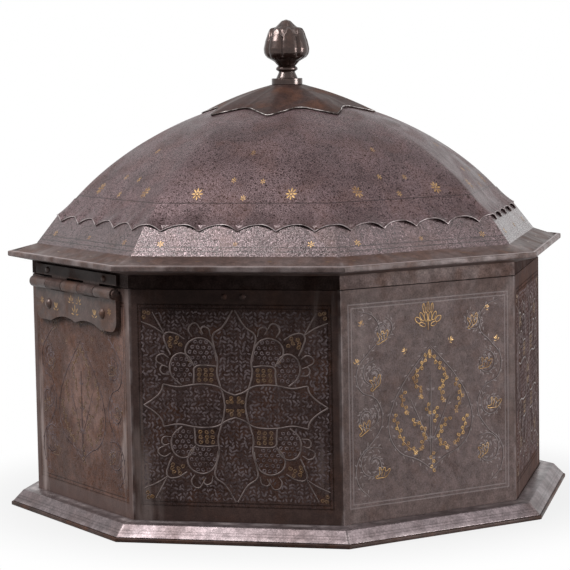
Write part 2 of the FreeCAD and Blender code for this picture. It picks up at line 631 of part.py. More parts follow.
def barrel(name, places, gap, radius):
    """Round bars in some of the knuckle places along the hinge axis."""
    return [
        cylinder(f"{name}_{place}", radius, f"{KNUCKLE} - 2 * ({gap})", knuckle_start(place, gap),
                 f"-{HINGE_REACH}", HINGE_HEIGHT, FreeCAD.Vector(1, 0, 0))
        for place in places
    ]


pin_hole = cylinder("pin_hole", "pin_radius + shank_gap", f"{LEAF_WIDTH} + 2 * cut_overrun",
                    f"-{LEAF_END} - cut_overrun", f"-{HINGE_REACH}", HINGE_HEIGHT, FreeCAD.Vector(1, 0, 0))
body_places = range(0, KNUCKLES, 2)
lid_places = range(1, KNUCKLES, 2)

leaf_body = doc.addObject("PartDesign::Body", "leaf_plate")
LOBE_HEIGHT = f"{BARREL_FOOT} - leaf_drop"
leaf_sketch = outline(leaf_body, "leaf_outline", "XZ_Plane", [
    (LEAF_END, HINGE_HEIGHT),
    (f"-{LEAF_END}", HINGE_HEIGHT),
    (f"-{LEAF_END}", f"{LOBE_HEIGHT} + leaf_corner", ("right", "leaf_corner")),
    (f"-{LEAF_END} + leaf_corner", LOBE_HEIGHT),
    (f"leaf_lobe - {LEAF_END}", LOBE_HEIGHT, ("left", "leaf_arc_radius")),
    ("0", f"{BARREL_FOOT} - leaf_tip", ("left", "leaf_arc_radius")),
    (f"{LEAF_END} - leaf_lobe", LOBE_HEIGHT),
    (f"{LEAF_END} - leaf_corner", LOBE_HEIGHT, ("right", "leaf_corner")),
    (LEAF_END, f"{LOBE_HEIGHT} + leaf_corner"),
], "wall_apothem")
pad(leaf_body, "leaf_pad", leaf_sketch, "leaf_thick")
leaf_notches = [
    block(f"leaf_notch_{place}",
          (knuckle_start(place, "0"), f"-{HINGE_REACH} - barrel_radius - cut_overrun",
           f"{BARREL_FOOT} - knuckle_gap"),
          (KNUCKLE, "2 * barrel_radius + 2 * cut_overrun", "2 * barrel_radius + cut_overrun"))
    for place in lid_places
]
leaf_blank = cut("leaf_blank", leaf_body, join("leaf_notches", leaf_notches))
leaf_bored = cut(
    "leaf_bored",
    join("leaf_with_knuckles", [leaf_blank, *barrel("leaf_knuckle", body_places, "0", "barrel_radius")]),
    join("leaf_room", [pin_hole, leaf_holes]),
)
hinge_leaf_lower = hinge_set("hinge_leaf_lower", leaf_bored)

STRAP_FOOT = f"({SKIRT_FOOT} + strap_margin)"
strap_bar = block("strap_bar", (f"-{LEAF_END}", "-wall_apothem - strap_thick", STRAP_FOOT),
                  (LEAF_WIDTH, "strap_thick", "skirt_height - 2 * strap_margin"))
strap_tongues = [
    block(f"strap_tongue_{place}",
          (knuckle_start(place, "knuckle_gap"), "-wall_apothem - strap_thick", HINGE_HEIGHT),
          (f"{KNUCKLE} - 2 * knuckle_gap", "strap_thick - barrel_gap",
           f"{STRAP_FOOT} - {HINGE_HEIGHT} + strap_margin"))
    for place in lid_places
]
strap_bored = cut(
    "strap_bored",
    join("strap_with_knuckles",
         [strap_bar, *strap_tongues, *barrel("strap_knuckle", lid_places, "knuckle_gap", "barrel_radius")]),
    join("strap_room", [pin_hole, strap_holes]),
)
hinge_leaf_upper = hinge_set("hinge_leaf_upper", strap_bored)

pin_bar = cylinder("pin_bar", "pin_radius", f"{LEAF_WIDTH} + 2 * shank_gap", f"-{LEAF_END} - shank_gap",
                   f"-{HINGE_REACH}", HINGE_HEIGHT, FreeCAD.Vector(1, 0, 0))
pin_ends = [
    cylinder(f"pin_head_{side}", "pin_radius + pin_head / 2", "pin_head", start,
             f"-{HINGE_REACH}", HINGE_HEIGHT, FreeCAD.Vector(1, 0, 0))
    for side, start in (
        ("left", f"-{LEAF_END} - shank_gap - pin_head"),
        ("right", f"{LEAF_END} + shank_gap"),
    )
]
hinge_pin = hinge_set("hinge_pin", join("pin_with_heads", [pin_bar, *pin_ends]))

hinge_rivets_lower = hinge_set("hinge_rivets_lower", [
    rivet(f"leaf_rivet_{side}", "leaf_rivet_radius", "leaf_rivet_head", "leaf_thick + wall_thick",
          f"{sign} * {LEAF_RIVET}", "wall_apothem + leaf_thick", f"{BARREL_FOOT} - leaf_rivet_drop")
    for side, sign in (("left", -1), ("right", 1))
])
hinge_rivets_upper = hinge_set("hinge_rivets_upper", [
    rivet(f"strap_rivet_{side}", "strap_rivet_radius", "strap_rivet_head", "strap_thick + skirt_thick",
          f"{sign} * {STRAP_RIVET}", "wall_apothem + strap_thick", f"{SKIRT_FOOT} + skirt_height / 2",
          inner_head=False)
    for side, sign in (("left", -1), ("right", 1))
])

PARTS = [
    base_plate, base_flange, *walls, inner_rim, rim_rivets,
    lid_skirt, cornice, dome_shell, dome_band, crown_cap,
    finial_plinth, finial_washer, finial_stem, finial_bud,
    hinge_leaf_lower, hinge_leaf_upper, hinge_pin, hinge_rivets_lower, hinge_rivets_upper,
]
doc.recompute()
failed = [o.Name for o in doc.Objects if "Invalid" in o.State or "Error" in o.State]
if failed:
    raise RuntimeError(f"these objects did not build: {failed}")
for part in PARTS:
    if part.Shape.isNull() or not part.Shape.isValid() or not part.Shape.Solids:
        raise RuntimeError(f"{part.Label} is not a valid solid")
os.makedirs("parts", exist_ok=True)
for part in PARTS:
    part.Shape.exportStep(f"parts/{part.Label}.step")
    print(part.Label, len(part.Shape.Solids), "solids,", round(part.Shape.Volume), "cubic millimetres")
hinge_axis = [round(number(text), 3) for text in (HINGE_REACH, HINGE_HEIGHT)]
print("hinge reach and height", hinge_axis, "overall height", round(number(f"{BUD_FOOT} + bud_height"), 2))
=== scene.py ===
"""An octagonal casket of damascened iron: inlaid walls on a splayed foot, a domed lid, a lotus-bud knob."""
import bmesh
import bpy
import math
import random
from mathutils import Matrix, Vector


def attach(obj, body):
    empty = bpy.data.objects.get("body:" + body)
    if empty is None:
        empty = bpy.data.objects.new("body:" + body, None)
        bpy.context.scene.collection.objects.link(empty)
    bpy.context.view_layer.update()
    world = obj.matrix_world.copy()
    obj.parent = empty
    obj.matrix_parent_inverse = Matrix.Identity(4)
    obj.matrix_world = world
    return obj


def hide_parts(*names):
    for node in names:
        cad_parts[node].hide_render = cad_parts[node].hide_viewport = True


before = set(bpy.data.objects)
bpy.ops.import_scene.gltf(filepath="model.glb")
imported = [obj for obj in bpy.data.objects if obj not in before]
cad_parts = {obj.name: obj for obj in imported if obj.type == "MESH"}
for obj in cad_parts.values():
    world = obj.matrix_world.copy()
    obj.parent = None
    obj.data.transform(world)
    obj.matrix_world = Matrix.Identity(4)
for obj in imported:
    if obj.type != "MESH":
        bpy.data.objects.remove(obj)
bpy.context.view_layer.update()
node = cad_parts


# Foot: an octagon of iron plate with a splayed flange of sheet soldered round it. The iron is grey-brown and
# cloudy, its outer edge rounded by handling and rubbed bright, with two scribed lines near the edge.
MM = 0.001
SIDES = 8
EIGHTH = 2 * math.pi / SIDES
HALF_SIDE = math.tan(EIGHTH / 2)
COLOUR = "NodeSocketColor"
NUMBER = "NodeSocketFloat"
VECTOR = "NodeSocketVector"
DARK_IRON = (0.026, 0.0145, 0.012, 1)
BROWN_IRON = (0.054, 0.032, 0.027, 1)
GREY_IRON = (0.092, 0.066, 0.062, 1)
RUST_BROWN = (0.068, 0.029, 0.016, 1)
RUBBED_IRON_AND_HIGHLIGHT = (0.4, 0.345, 0.345, 1)
SCRIBED = (0.012, 0.008, 0.007, 1)
FOOT_DARK = (0.1, 0.076, 0.077, 1)
FOOT_PALE = (0.155, 0.125, 0.13, 1)
FOOT_RIM = 109.6
FOOT_LEDGE = 101.6
FOOT_LINES = (107.2, 108.0)


def shader(tree, kind, sockets=None, **settings):
    """A shader node with its settings, its sockets set to values or linked to other nodes."""
    made = tree.nodes.new(kind)
    for name, value in settings.items():
        setattr(made, name, value)
    for name, value in (sockets or {}).items():
        if isinstance(value, bpy.types.NodeSocket):
            tree.links.new(value, made.inputs[name])
        else:
            made.inputs[name].default_value = value
    return made


def blended(tree, factor, first, second, blend="MIX"):
    """The colour between two colours."""
    mix = shader(tree, "ShaderNodeMix", {0: factor, 6: first, 7: second}, data_type="RGBA", blend_type=blend)
    return mix.outputs[2]


def ramped(tree, value, low, high, start=0.0, end=1.0):
    """A value that goes smoothly from start to end while another goes from low to high."""
    limits = {"Value": value, "From Min": low, "From Max": high, "To Min": start, "To Max": end}
    return shader(tree, "ShaderNodeMapRange", limits, interpolation_type="SMOOTHSTEP").outputs["Result"]


def worked(tree, operation, first, second=0.0):
    """The result of one sum."""
    return shader(tree, "ShaderNodeMath", {0: first, 1: second}, operation=operation).outputs[0]


def times(tree, first, second):
    """The product of two values."""
    return worked(tree, "MULTIPLY", first, second)


def apart(tree, first, second):
    """How far apart two values are."""
    return worked(tree, "ABSOLUTE", worked(tree, "SUBTRACT", first, second))


def tinted(tree, mask, share, colour, tone):
    """A colour taken a share of the way to another where a mask says so."""
    return blended(tree, times(tree, mask, share), colour, tone)


def clouded(tree, place, scale, detail=4.0, distortion=0.0):
    """A cloudy value from 0 to 1."""
    sockets = {"Vector": place, "Scale": scale, "Detail": detail, "Distortion": distortion}
    return shader(tree, "ShaderNodeTexNoise", sockets).outputs["Fac"]


def effect(name, inputs, outputs):
    """An empty shader group with named sockets, and its two ends."""
    group = bpy.data.node_groups.new(name, "ShaderNodeTree")
    for end, sockets in (("INPUT", inputs), ("OUTPUT", outputs)):
        for socket, kind in sockets.items():
            group.interface.new_socket(socket, in_out=end, socket_type=kind)
    return group, group.nodes.new("NodeGroupInput"), group.nodes.new("NodeGroupOutput")


def placed(tree, group, sockets):
    """A shader group put into a material with its own values."""
    return shader(tree, "ShaderNodeGroup", sockets, node_tree=group)


aged_iron, start, end = effect(
    "aged iron",
    {"Vector": VECTOR, "Dark": COLOUR, "Pale": COLOUR, "Rust": COLOUR, "Rust Amount": NUMBER},
    {"Color": COLOUR, "Roughness": NUMBER, "Height": NUMBER},
)
tree = aged_iron
spot = start.outputs["Vector"]
clouds = ramped(tree, clouded(tree, spot, 30.0, 6.0), 0.34, 0.66)
patches = clouded(tree, spot, 75.0, 6.0, 0.7)
grain = clouded(tree, spot, 1500.0, 3.0)
scuffs = clouded(tree, spot, 330.0, 5.0)
pits = shader(tree, "ShaderNodeTexVoronoi", {"Vector": spot, "Scale": 520.0}).outputs["Distance"]
ground = blended(tree, clouds, start.outputs["Dark"], start.outputs["Pale"])
rusty = ramped(tree, patches, 0.46, 0.66)
browned_and_shaded = tinted(tree, rusty, start.outputs["Rust Amount"], ground, start.outputs["Rust"])
speckle = ramped(tree, grain, 0.3, 0.7, 0.78, 1.22)
scuffed = ramped(tree, scuffs, 0.35, 0.68, 0.82, 1.25)
mottle = times(tree, speckle, scuffed)
pitted = times(tree, ramped(tree, pits, 0.05, 0.4), 0.7)
roughened = worked(tree, "ADD", pitted, times(tree, scuffs, 0.8))
tree.links.new(blended(tree, 1.0, browned_and_shaded, mottle, "MULTIPLY"), end.inputs["Color"])
tree.links.new(ramped(tree, patches, 0.3, 0.7, 0.36, 0.58), end.inputs["Roughness"])
tree.links.new(roughened, end.inputs["Height"])

eight_sides, start, end = effect(
    "eight sides", {"Vector": VECTOR}, {"Across": NUMBER, "Out": NUMBER, "Up": NUMBER, "To Arris": NUMBER},
)
tree = eight_sides
spot = shader(tree, "ShaderNodeSeparateXYZ", {"Vector": start.outputs["Vector"]})
bearing = worked(tree, "ARCTAN2", spot.outputs["Y"], spot.outputs["X"])
nearest = worked(tree, "ROUND", worked(tree, "DIVIDE", bearing, EIGHTH))
offset = worked(tree, "SUBTRACT", bearing, times(tree, nearest, EIGHTH))
squares = (times(tree, spot.outputs[axis], spot.outputs[axis]) for axis in "XY")
reach = worked(tree, "SQRT", worked(tree, "ADD", *squares))
across = times(tree, reach, worked(tree, "SINE", offset))
out = times(tree, reach, worked(tree, "COSINE", offset))
half_side = times(tree, out, HALF_SIDE)
to_arris = worked(tree, "SUBTRACT", half_side, worked(tree, "ABSOLUTE", across))
for socket, value in (("Across", across), ("Out", out), ("Up", spot.outputs["Z"]), ("To Arris", to_arris)):
    tree.links.new(value, end.inputs[socket])

edge_wear, start, end = effect(
    "edge wear", {"Vector": VECTOR, "Distance": NUMBER, "Width": NUMBER}, {"Mask": NUMBER},
)
tree = edge_wear
near = ramped(tree, start.outputs["Distance"], 0.0, start.outputs["Width"], 1.0, 0.0)
broken = ramped(tree, clouded(tree, start.outputs["Vector"], 140.0, 7.0), 0.36, 0.72)
tree.links.new(times(tree, near, broken), end.inputs["Mask"])


def rubbed(tree, spot, distance, width):
    """Where an edge is rubbed, up to a width in millimetres from it."""
    sockets = {"Vector": spot, "Distance": distance, "Width": width * MM}
    return placed(tree, edge_wear, sockets).outputs["Mask"]


def material_begun(name, metal, gloss):
    """A new material, its nodes and shader, and the place on its surface."""
    material = bpy.data.materials.new(name)
    material.use_nodes = True
    tree = material.node_tree
    surface = tree.nodes["Principled BSDF"]
    surface.inputs["Metallic"].default_value = metal
    surface.inputs["Specular IOR Level"].default_value = gloss
    return material, tree, surface, shader(tree, "ShaderNodeTexCoord").outputs["Object"]


def metal_ended(tree, surface, colour, rough, height, relief, depth):
    """Joins colour, roughness and relief to the shader of a metal."""
    bump = shader(tree, "ShaderNodeBump", {"Height": height, "Strength": relief, "Distance": depth * MM})
    for socket, value in (("Base Color", colour), ("Roughness", rough), ("Normal", bump.outputs["Normal"])):
        tree.links.new(value, surface.inputs[socket])


def iron(name, dark, pale, rust_amount=0.5, metal=0.1, relief=0.25, dress=None, gloss=0.1, polish=1.0):
    """A material of aged iron; dress lays more over its colour and height."""
    material, tree, surface, spot = material_begun(name, metal, gloss)
    colours = {"Vector": spot, "Dark": dark, "Pale": pale, "Rust": RUST_BROWN, "Rust Amount": rust_amount}
    body = placed(tree, aged_iron, colours)
    colour, rough, height = (body.outputs[socket] for socket in ("Color", "Roughness", "Height"))
    if dress:
        colour, height = dress(tree, spot, colour, height)
    metal_ended(tree, surface, colour, times(tree, rough, polish), height, relief, 0.15)
    return material


def finished(name, material, edge):
    """Gives a CAD piece its material and rounds its edges by a few tenths of a millimetre."""
    piece = node[name]
    piece.data.materials.clear()
    piece.data.materials.append(material)
    piece.data.polygons.foreach_set("use_smooth", [True] * len(piece.data.polygons))
    piece.modifiers.new("weld", "WELD").merge_threshold = 0.002 * MM
    flats = piece.modifiers.new("whole faces", "DECIMATE")
    flats.decimate_type = "DISSOLVE"
    flats.angle_limit = math.radians(0.6)
    rounding = piece.modifiers.new("rounded edges", "BEVEL")
    rounding.width = edge * MM
    rounding.segments = 2
    rounding.limit_method = "ANGLE"
    rounding.angle_limit = math.radians(25)
    piece.modifiers.new("even shading", "WEIGHTED_NORMAL").keep_sharp = True


def foot_dress(tree, spot, colour, height):
    """Rubbed corners and outer edge, a bright ledge at the wall, two scribed lines."""
    side = placed(tree, eight_sides, {"Vector": spot})
    out = side.outputs["Out"]
    corner = rubbed(tree, spot, side.outputs["To Arris"], 1.4)
    rim = rubbed(tree, spot, worked(tree, "SUBTRACT", FOOT_RIM * MM, out), 1.6)
    ledge = rubbed(tree, spot, apart(tree, out, FOOT_LEDGE * MM), 2.2)
    colour = tinted(tree, worked(tree, "MAXIMUM", corner, rim), 0.5, colour, RUBBED_IRON_AND_HIGHLIGHT)
    colour = blended(tree, ledge, colour, RUBBED_IRON_AND_HIGHLIGHT)
    for line in FOOT_LINES:
        scribed = ramped(tree, apart(tree, out, line * MM), 0.06 * MM, 0.2 * MM, 1.0, 0.0)
        colour = tinted(tree, scribed, 0.35, colour, SCRIBED)
    return colour, height


finished("base_plate", iron("plain iron", DARK_IRON, BROWN_IRON), 0.4)
foot_iron = iron("foot iron", FOOT_DARK, FOOT_PALE, 0.1, 0.6, 0.1, foot_dress, polish=0.75)
finished("base_flange", foot_iron, 0.5)


# Walls: eight mitred iron plates, each with a bordered panel damascened in silver and dull gold. The wires
# are hammered into the scored ground, stand a little proud of it and are rubbed through in places.
WALL_OUT = 99.4
PANEL_MID = 51.5
PANEL_HALF = 37.6
PANEL_RISE = 38.8
QUARTERS = [(1, 1), (-1, 1), (1, -1), (-1, -1)]
WALLS = {"front": "strapwork", "front_right": "tree", "right": "strapwork", "back_right": "tree",
         "back": "strapwork", "back_left": "tree", "left": "strapwork", "front_left": "worn"}
TREE_DARK = (0.07, 0.05, 0.046, 1)
WORN_DARK = (0.058, 0.028, 0.019, 1)
WORN_PALE = (0.155, 0.087, 0.068, 1)
VINE_SILVER = (0.18, 0.15, 0.148, 1)
STREAK_PALE = (0.3, 0.245, 0.232, 1)
SILVER_LIGHT = (0.15, 0.117, 0.112, 1)
SILVER_DULL = (0.15, 0.118, 0.122, 1)
STRAP_DULL = (0.07, 0.052, 0.049, 1)
GOLD_LIGHT = (0.4, 0.24, 0.085, 1)
GOLD_DULL = (0.17, 0.085, 0.027, 1)
LEAF_WORN = (0.055, 0.038, 0.037, 1)
VINE_WORN = (0.13, 0.104, 0.1, 1)
GOLD_WORN = (0.09, 0.048, 0.023, 1)
BORDER_LINES = (0.0, -1.4)
WALL_SCORING = 620.0
STREAK_STRETCH = (1, 1, 0.14)
STREAK_EDGES = (-11, -4)

scored_ground, start, end = effect("scored ground", {"Vector": VECTOR, "Scale": NUMBER}, {"Mask": NUMBER})
tree = scored_ground
spot = start.outputs["Vector"]
away = apart(tree, clouded(tree, spot, start.outputs["Scale"], 1.2, 0.5), 0.5)
first_lines = ramped(tree, away, 0.012, 0.04, 1.0, 0.0)
second_lines = ramped(tree, apart(tree, away, 0.1), 0.01, 0.035, 1.0, 0.0)
lost = ramped(tree, clouded(tree, spot, 70.0, 5.0), 0.3, 0.62, 0.6, 1.0)
drawn = worked(tree, "MAXIMUM", first_lines, second_lines)
tree.links.new(times(tree, drawn, lost), end.inputs["Mask"])


def wall_dress(silvered, bared, line_colour):
    """The panel's scored ground inside two scribed border lines, and the lighter rubbed strips round it."""
    def dress(tree, spot, colour, height):
        side = placed(tree, eight_sides, {"Vector": spot})
        sideways = worked(tree, "SUBTRACT", apart(tree, side.outputs["Across"], 0.0), PANEL_HALF * MM)
        upward = worked(tree, "SUBTRACT", apart(tree, side.outputs["Up"], PANEL_MID * MM), PANEL_RISE * MM)
        outside = worked(tree, "MAXIMUM", sideways, upward)
        strip = ramped(tree, outside, 0.0, 0.8 * MM)
        scored = placed(tree, scored_ground, {"Vector": spot, "Scale": WALL_SCORING}).outputs["Mask"]
        inside = times(tree, scored, worked(tree, "SUBTRACT", 1.0, strip))
        colour = tinted(tree, inside, silvered, colour, SILVER_DULL)
        colour = tinted(tree, strip, bared, colour, GREY_IRON)
        for line in BORDER_LINES:
            scribed = ramped(tree, apart(tree, outside, line * MM), 0.12 * MM, 0.34 * MM, 1.0, 0.0)
            colour = tinted(tree, scribed, 0.6, colour, line_colour)
            height = worked(tree, "SUBTRACT", height, scribed)
        arris = rubbed(tree, spot, side.outputs["To Arris"], 1.3)
        colour = tinted(tree, arris, 0.3, colour, RUBBED_IRON_AND_HIGHLIGHT)
        drawn_out = shader(tree, "ShaderNodeVectorMath", {0: spot, 1: STREAK_STRETCH}, operation="MULTIPLY")
        streaks = ramped(tree, clouded(tree, drawn_out.outputs[0], 150.0), 0.5, 0.7)
        flank = ramped(tree, sideways, *(edge * MM for edge in STREAK_EDGES))
        colour = tinted(tree, times(tree, streaks, flank), bared, colour, STREAK_PALE)
        return colour, worked(tree, "SUBTRACT", height, times(tree, scored, 0.5))
    return dress


wall_iron = {
    "strapwork": iron("strapwork wall iron", DARK_IRON, BROWN_IRON, 0.4, 0.05,
                      dress=wall_dress(0.25, 0.35, SCRIBED), gloss=0.0),
    "tree": iron("tree wall iron", TREE_DARK, GREY_IRON, 0.2,
                 dress=wall_dress(0.36, 0.15, VINE_SILVER), gloss=0.05),
    "worn": iron("worn wall iron", WORN_DARK, WORN_PALE, 0.8,
                 dress=wall_dress(0.4, 0.75, SCRIBED), gloss=0.05),
}
for wall, kind in WALLS.items():
    finished(f"wall_{wall}", wall_iron[kind], 0.2)


def inlay(name, bright, dull, wear, metal=0.4, gloss=0.5):
    """A material of hammered-in wire, rubbed to a duller tone or to the iron in places."""
    material, tree, surface, spot = material_begun(name, metal, gloss)
    cloudy = clouded(tree, spot, 210.0, 5.0)
    fine = clouded(tree, spot, 900.0, 3.0)
    mixed = worked(tree, "ADD", times(tree, fine, 0.35), cloudy)
    kept = ramped(tree, mixed, 0.95 - wear, 0.6 - wear)
    lost = ramped(tree, clouded(tree, spot, 95.0, 5.0), 0.74 - wear * 0.3, 0.82 - wear * 0.3)
    colour = blended(tree, lost, blended(tree, kept, dull, bright), BROWN_IRON)
    metal_ended(tree, surface, colour, ramped(tree, cloudy, 0.3, 0.7, 0.3, 0.5), fine, 0.3, 0.1)
    return material


silver_strap = inlay("silver strap", SILVER_LIGHT, STRAP_DULL, 0.03, 0.1, 0.1)
silver_leaf = inlay("silver leaf", SILVER_DULL, LEAF_WORN, 0.08, 0.0, 0.0)
silver_vine = inlay("silver vine", VINE_SILVER, VINE_WORN, 0.0, 0.05, 0.05)
gold_bright = inlay("bright gold", GOLD_LIGHT, GOLD_DULL, 0.1)
gold_dull = inlay("dull gold", GOLD_DULL, GOLD_WORN, 0.25)

bpy.ops.mesh.primitive_cone_add(vertices=6, radius1=0.5, radius2=0, depth=1, location=(0, 0, 0.5))
bpy.ops.object.transform_apply(location=True)
bpy.ops.transform.resize(value=(0.4, 1, 1))
bpy.ops.object.transform_apply(scale=True)
leaf_master = bpy.context.object
leaf_mesh = leaf_master.data.copy()
for edge in leaf_mesh.edges:
    edge.use_edge_sharp = all(leaf_mesh.vertices[corner].co.z < 0.5 for corner in edge.vertices)
bpy.data.objects.remove(leaf_master)

INLAY_RISE = 0.09
LEAF_MESH_WIDTH = 0.35


def wire_curve(name, width, roundness=0):
    """An empty curve that is drawn as a wire, its width in millimetres."""
    curve = bpy.data.curves.new(name, "CURVE")
    curve.dimensions = "3D"
    curve.bevel_depth = width / 2 * MM
    curve.bevel_resolution = roundness
    return curve


def put(name, data):
    """A new object in the scene."""
    made = bpy.data.objects.new(name, data)
    bpy.context.scene.collection.objects.link(made)
    return made


def meshed(curve):
    """The mesh of a curve."""
    drawing = put(curve.name, curve)
    mesh = bpy.data.meshes.new_from_object(drawing)
    bpy.data.objects.remove(drawing)
    return mesh


def wires(name, width, lines, closed=False, taper=0.6, smooth=4):
    """Inlaid wires of a flat drawing: soft lines through points in millimetres, a little raised."""
    curve = wire_curve(name, width)
    curve.twist_mode = "Z_UP"
    curve.use_fill_caps = True
    curve.resolution_u = smooth
    for points in lines:
        line = curve.splines.new("BEZIER")
        line.bezier_points.add(len(points) - 1)
        for knot, (sideways, up) in zip(line.bezier_points, points):
            knot.co = (sideways * MM, up * MM, 0)
            knot.radius = 1.0
        for knot in line.bezier_points:
            knot.handle_left_type = "AUTO"
            knot.handle_right_type = "AUTO"
        line.use_cyclic_u = closed
        if not closed:
            line.bezier_points[0].radius = taper
            line.bezier_points[-1].radius = taper
    mesh = meshed(curve)
    for corner in mesh.vertices:
        corner.co.z *= INLAY_RISE * 2 / width
    return mesh, Matrix.Identity(4)


def leaf(sideways, up, turn, length, width):
    """One small leaf of a flat drawing: its place in millimetres, its turn from upright and its size."""
    scale = Matrix.Diagonal((width / LEAF_MESH_WIDTH * MM, length * MM, INLAY_RISE * MM, 1))
    return leaf_mesh, Matrix.Translation((sideways * MM, up * MM, 0)) @ Matrix.Rotation(turn, 4, "Z") @ scale


def gathered(name, parts):
    """One flat drawing from many pieces, each with its own place."""
    work = bmesh.new()
    for mesh, place in parts:
        first = len(work.verts)
        work.from_mesh(mesh)
        work.verts.ensure_lookup_table()
        for corner in work.verts[first:]:
            corner.co = place @ corner.co
    drawing = bpy.data.meshes.new(name)
    work.to_mesh(drawing)
    work.free()
    drawing.polygons.foreach_set("use_smooth", [True] * len(drawing.polygons))
    return drawing


def straight(low, high):
    """Where a flat drawing lies on a plate between two points (out, height) in millimetres."""
    run = Vector((high[0] - low[0], high[1] - low[1])).normalized()

    def place(sideways, up, rise):
        outward = low[0] * MM + run.x * up + run.y * rise
        return sideways, outward, low[1] * MM + run.y * up - run.x * rise
    return place


def side_turn(side):
    """The turn from the front to one of the eight sides."""
    return Matrix.Rotation(side * EIGHTH, 3, "Z")


def fitted(name, mesh, material, body):
    """A piece from a mesh that is in its place, where it moves with a body."""
    mesh.name = name
    mesh.materials.append(material)
    piece = put(name, mesh)
    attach(piece, body)


def laid(name, drawing, place, side, body, material):
    """Lays a flat drawing on one of the eight sides."""
    mesh = drawing.copy()
    turn = side_turn(side)
    for corner in mesh.vertices:
        sideways, outward, height = place(*corner.co)
        corner.co = turn @ Vector((sideways, -outward, height))
    fitted(name, mesh, material, body)


def quartered(lines):
    """Lines of one quarter of a panel, given from its middle, copied to all four."""
    return [[(x * right, y * top + PANEL_MID) for x, y in line] for line in lines for right, top in QUARTERS]


def curl(x, y, size, turns=1.3, start=0.0, hand=1):
    """A small spiral."""
    count = max(6, int(turns * 8))
    points = []
    for step in range(count + 1):
        reach = size * (0.25 + 0.75 * step / count)
        bearing = start + hand * step / count * turns * 2 * math.pi
        points.append((x + reach * math.cos(bearing), y + reach * math.sin(bearing)))
    return points


def rosette(x, y, size, petals, stout=0.34):
    """A flower of small leaves round a centre."""
    parts = []
    for petal in range(petals):
        turn = 2 * math.pi * petal / petals
        sideways, up = x - size * 0.62 * math.sin(turn), y + size * 0.62 * math.cos(turn)
        parts.append(leaf(sideways, up, turn, size * 0.75, size * stout))
    parts.append(leaf(x, y, 0.0, size * 0.36, size * 0.36))
    return parts


def to_segment(x, y, first, second):
    """Distance from a point to a straight line between two others."""
    run_x, run_y = second[0] - first[0], second[1] - first[1]
    share = ((x - first[0]) * run_x + (y - first[1]) * run_y) / max(run_x ** 2 + run_y ** 2, 1e-9)
    share = min(max(share, 0.0), 1.0)
    return math.hypot(x - first[0] - share * run_x, y - first[1] - share * run_y)


STRAPS = [
    [(4, 0), (4.5, 3.6), (5.8, 8.2), (6.9, 12.5), (6.6, 17.5), (7.9, 23), (8.2, 27.3), (4.6, 30.2),
     (0.4, 36.8)],
    [(0, 4.3), (3.2, 5.4), (7, 7.6), (11.5, 8.3), (16.5, 8.1), (22.4, 7.2), (28.2, 8.2)],
    [(28.2, 8.2), (29, 5.6), (31.9, 2.6), (36, 0)],
    [(16.2, 8.2), (15.9, 12), (15.6, 14.8), (12.5, 15.6), (7.2, 15.3)],
    [(7, 17.3), (8.3, 23), (11.5, 25.8), (15.8, 25.6), (18.9, 22.6), (18.6, 18.8), (15.8, 15.4)],
    [(15.8, 15.4), (18.8, 19.6), (22.6, 19.8), (25.3, 16), (24.6, 11.4), (21, 8)],
    [(19.4, 25.6), (24, 28), (27.2, 27.4), (26.6, 23), (25, 19.6)],
]
STRAP_CURLS = [
    [(9.2, 26.8), (10.3, 30), (12.8, 29.8), (12, 27.6)],
    [(13, 29.4), (15.2, 31.8), (17.8, 29.4), (16.4, 26.6)],
    [(25.6, 12), (28.8, 12.6), (28.6, 15.2), (26.2, 14.8)],
    [(28.2, 15.6), (30.8, 17.6), (28.6, 19.8), (25.8, 18.4)],
    [(27.2, 27.4), (29.4, 31.4), (32, 36)],
    [(27.2, 27.4), (31.2, 30), (36.4, 32.2)],
]
UPPER_OVAL = (13.0, 20.6, 4.9, 4.4)
SIDE_OVAL = (20.8, 13.9, 3.9, 4.9)
CARTOUCHE = (11.4, 11.8, 4.2, 3.6)
BARE_SPOTS = [(0, 0, 5.4), (23.6, 24.2, 4.4), (35, 36.2, 3.4)]


def in_oval(x, y, oval, grow=1.0):
    """Whether a point is inside an oval given as middle and half sizes."""
    return ((x - oval[0]) / (oval[2] * grow)) ** 2 + ((y - oval[1]) / (oval[3] * grow)) ** 2 < 1


def open_ground(x, y):
    """Whether a leaf may stand at a point of one quarter of the strapwork panel."""
    if any(in_oval(x, y, oval, 1.25) for oval in (UPPER_OVAL, SIDE_OVAL, CARTOUCHE)):
        return False
    if any(math.hypot(x - right, y - top) < reach for right, top, reach in BARE_SPOTS):
        return False
    return all(to_segment(x, y, a, b) > 1.0 for line in STRAPS + STRAP_CURLS for a, b in zip(line, line[1:]))


STEM_PITCH = 3.1
STEM_GAP = 0.78
LEAF_PITCH = 1.55
LEAF_LEAN = 0.8
LEAF_LIMITS = (36.0, 36.6)
LEAF_SIZE = (1.75, 0.66)
hammering = random.Random(7)


def strewn(x, y, turn):
    """One leaf of the panel's ground, a little off its place as a hand would lay it."""
    grown = hammering.uniform(0.75, 1.25)
    return leaf(x + hammering.uniform(-0.4, 0.4), y + hammering.uniform(-0.4, 0.4) + PANEL_MID,
                turn + hammering.uniform(-0.5, 0.5), LEAF_SIZE[0] * grown, LEAF_SIZE[1] * grown)


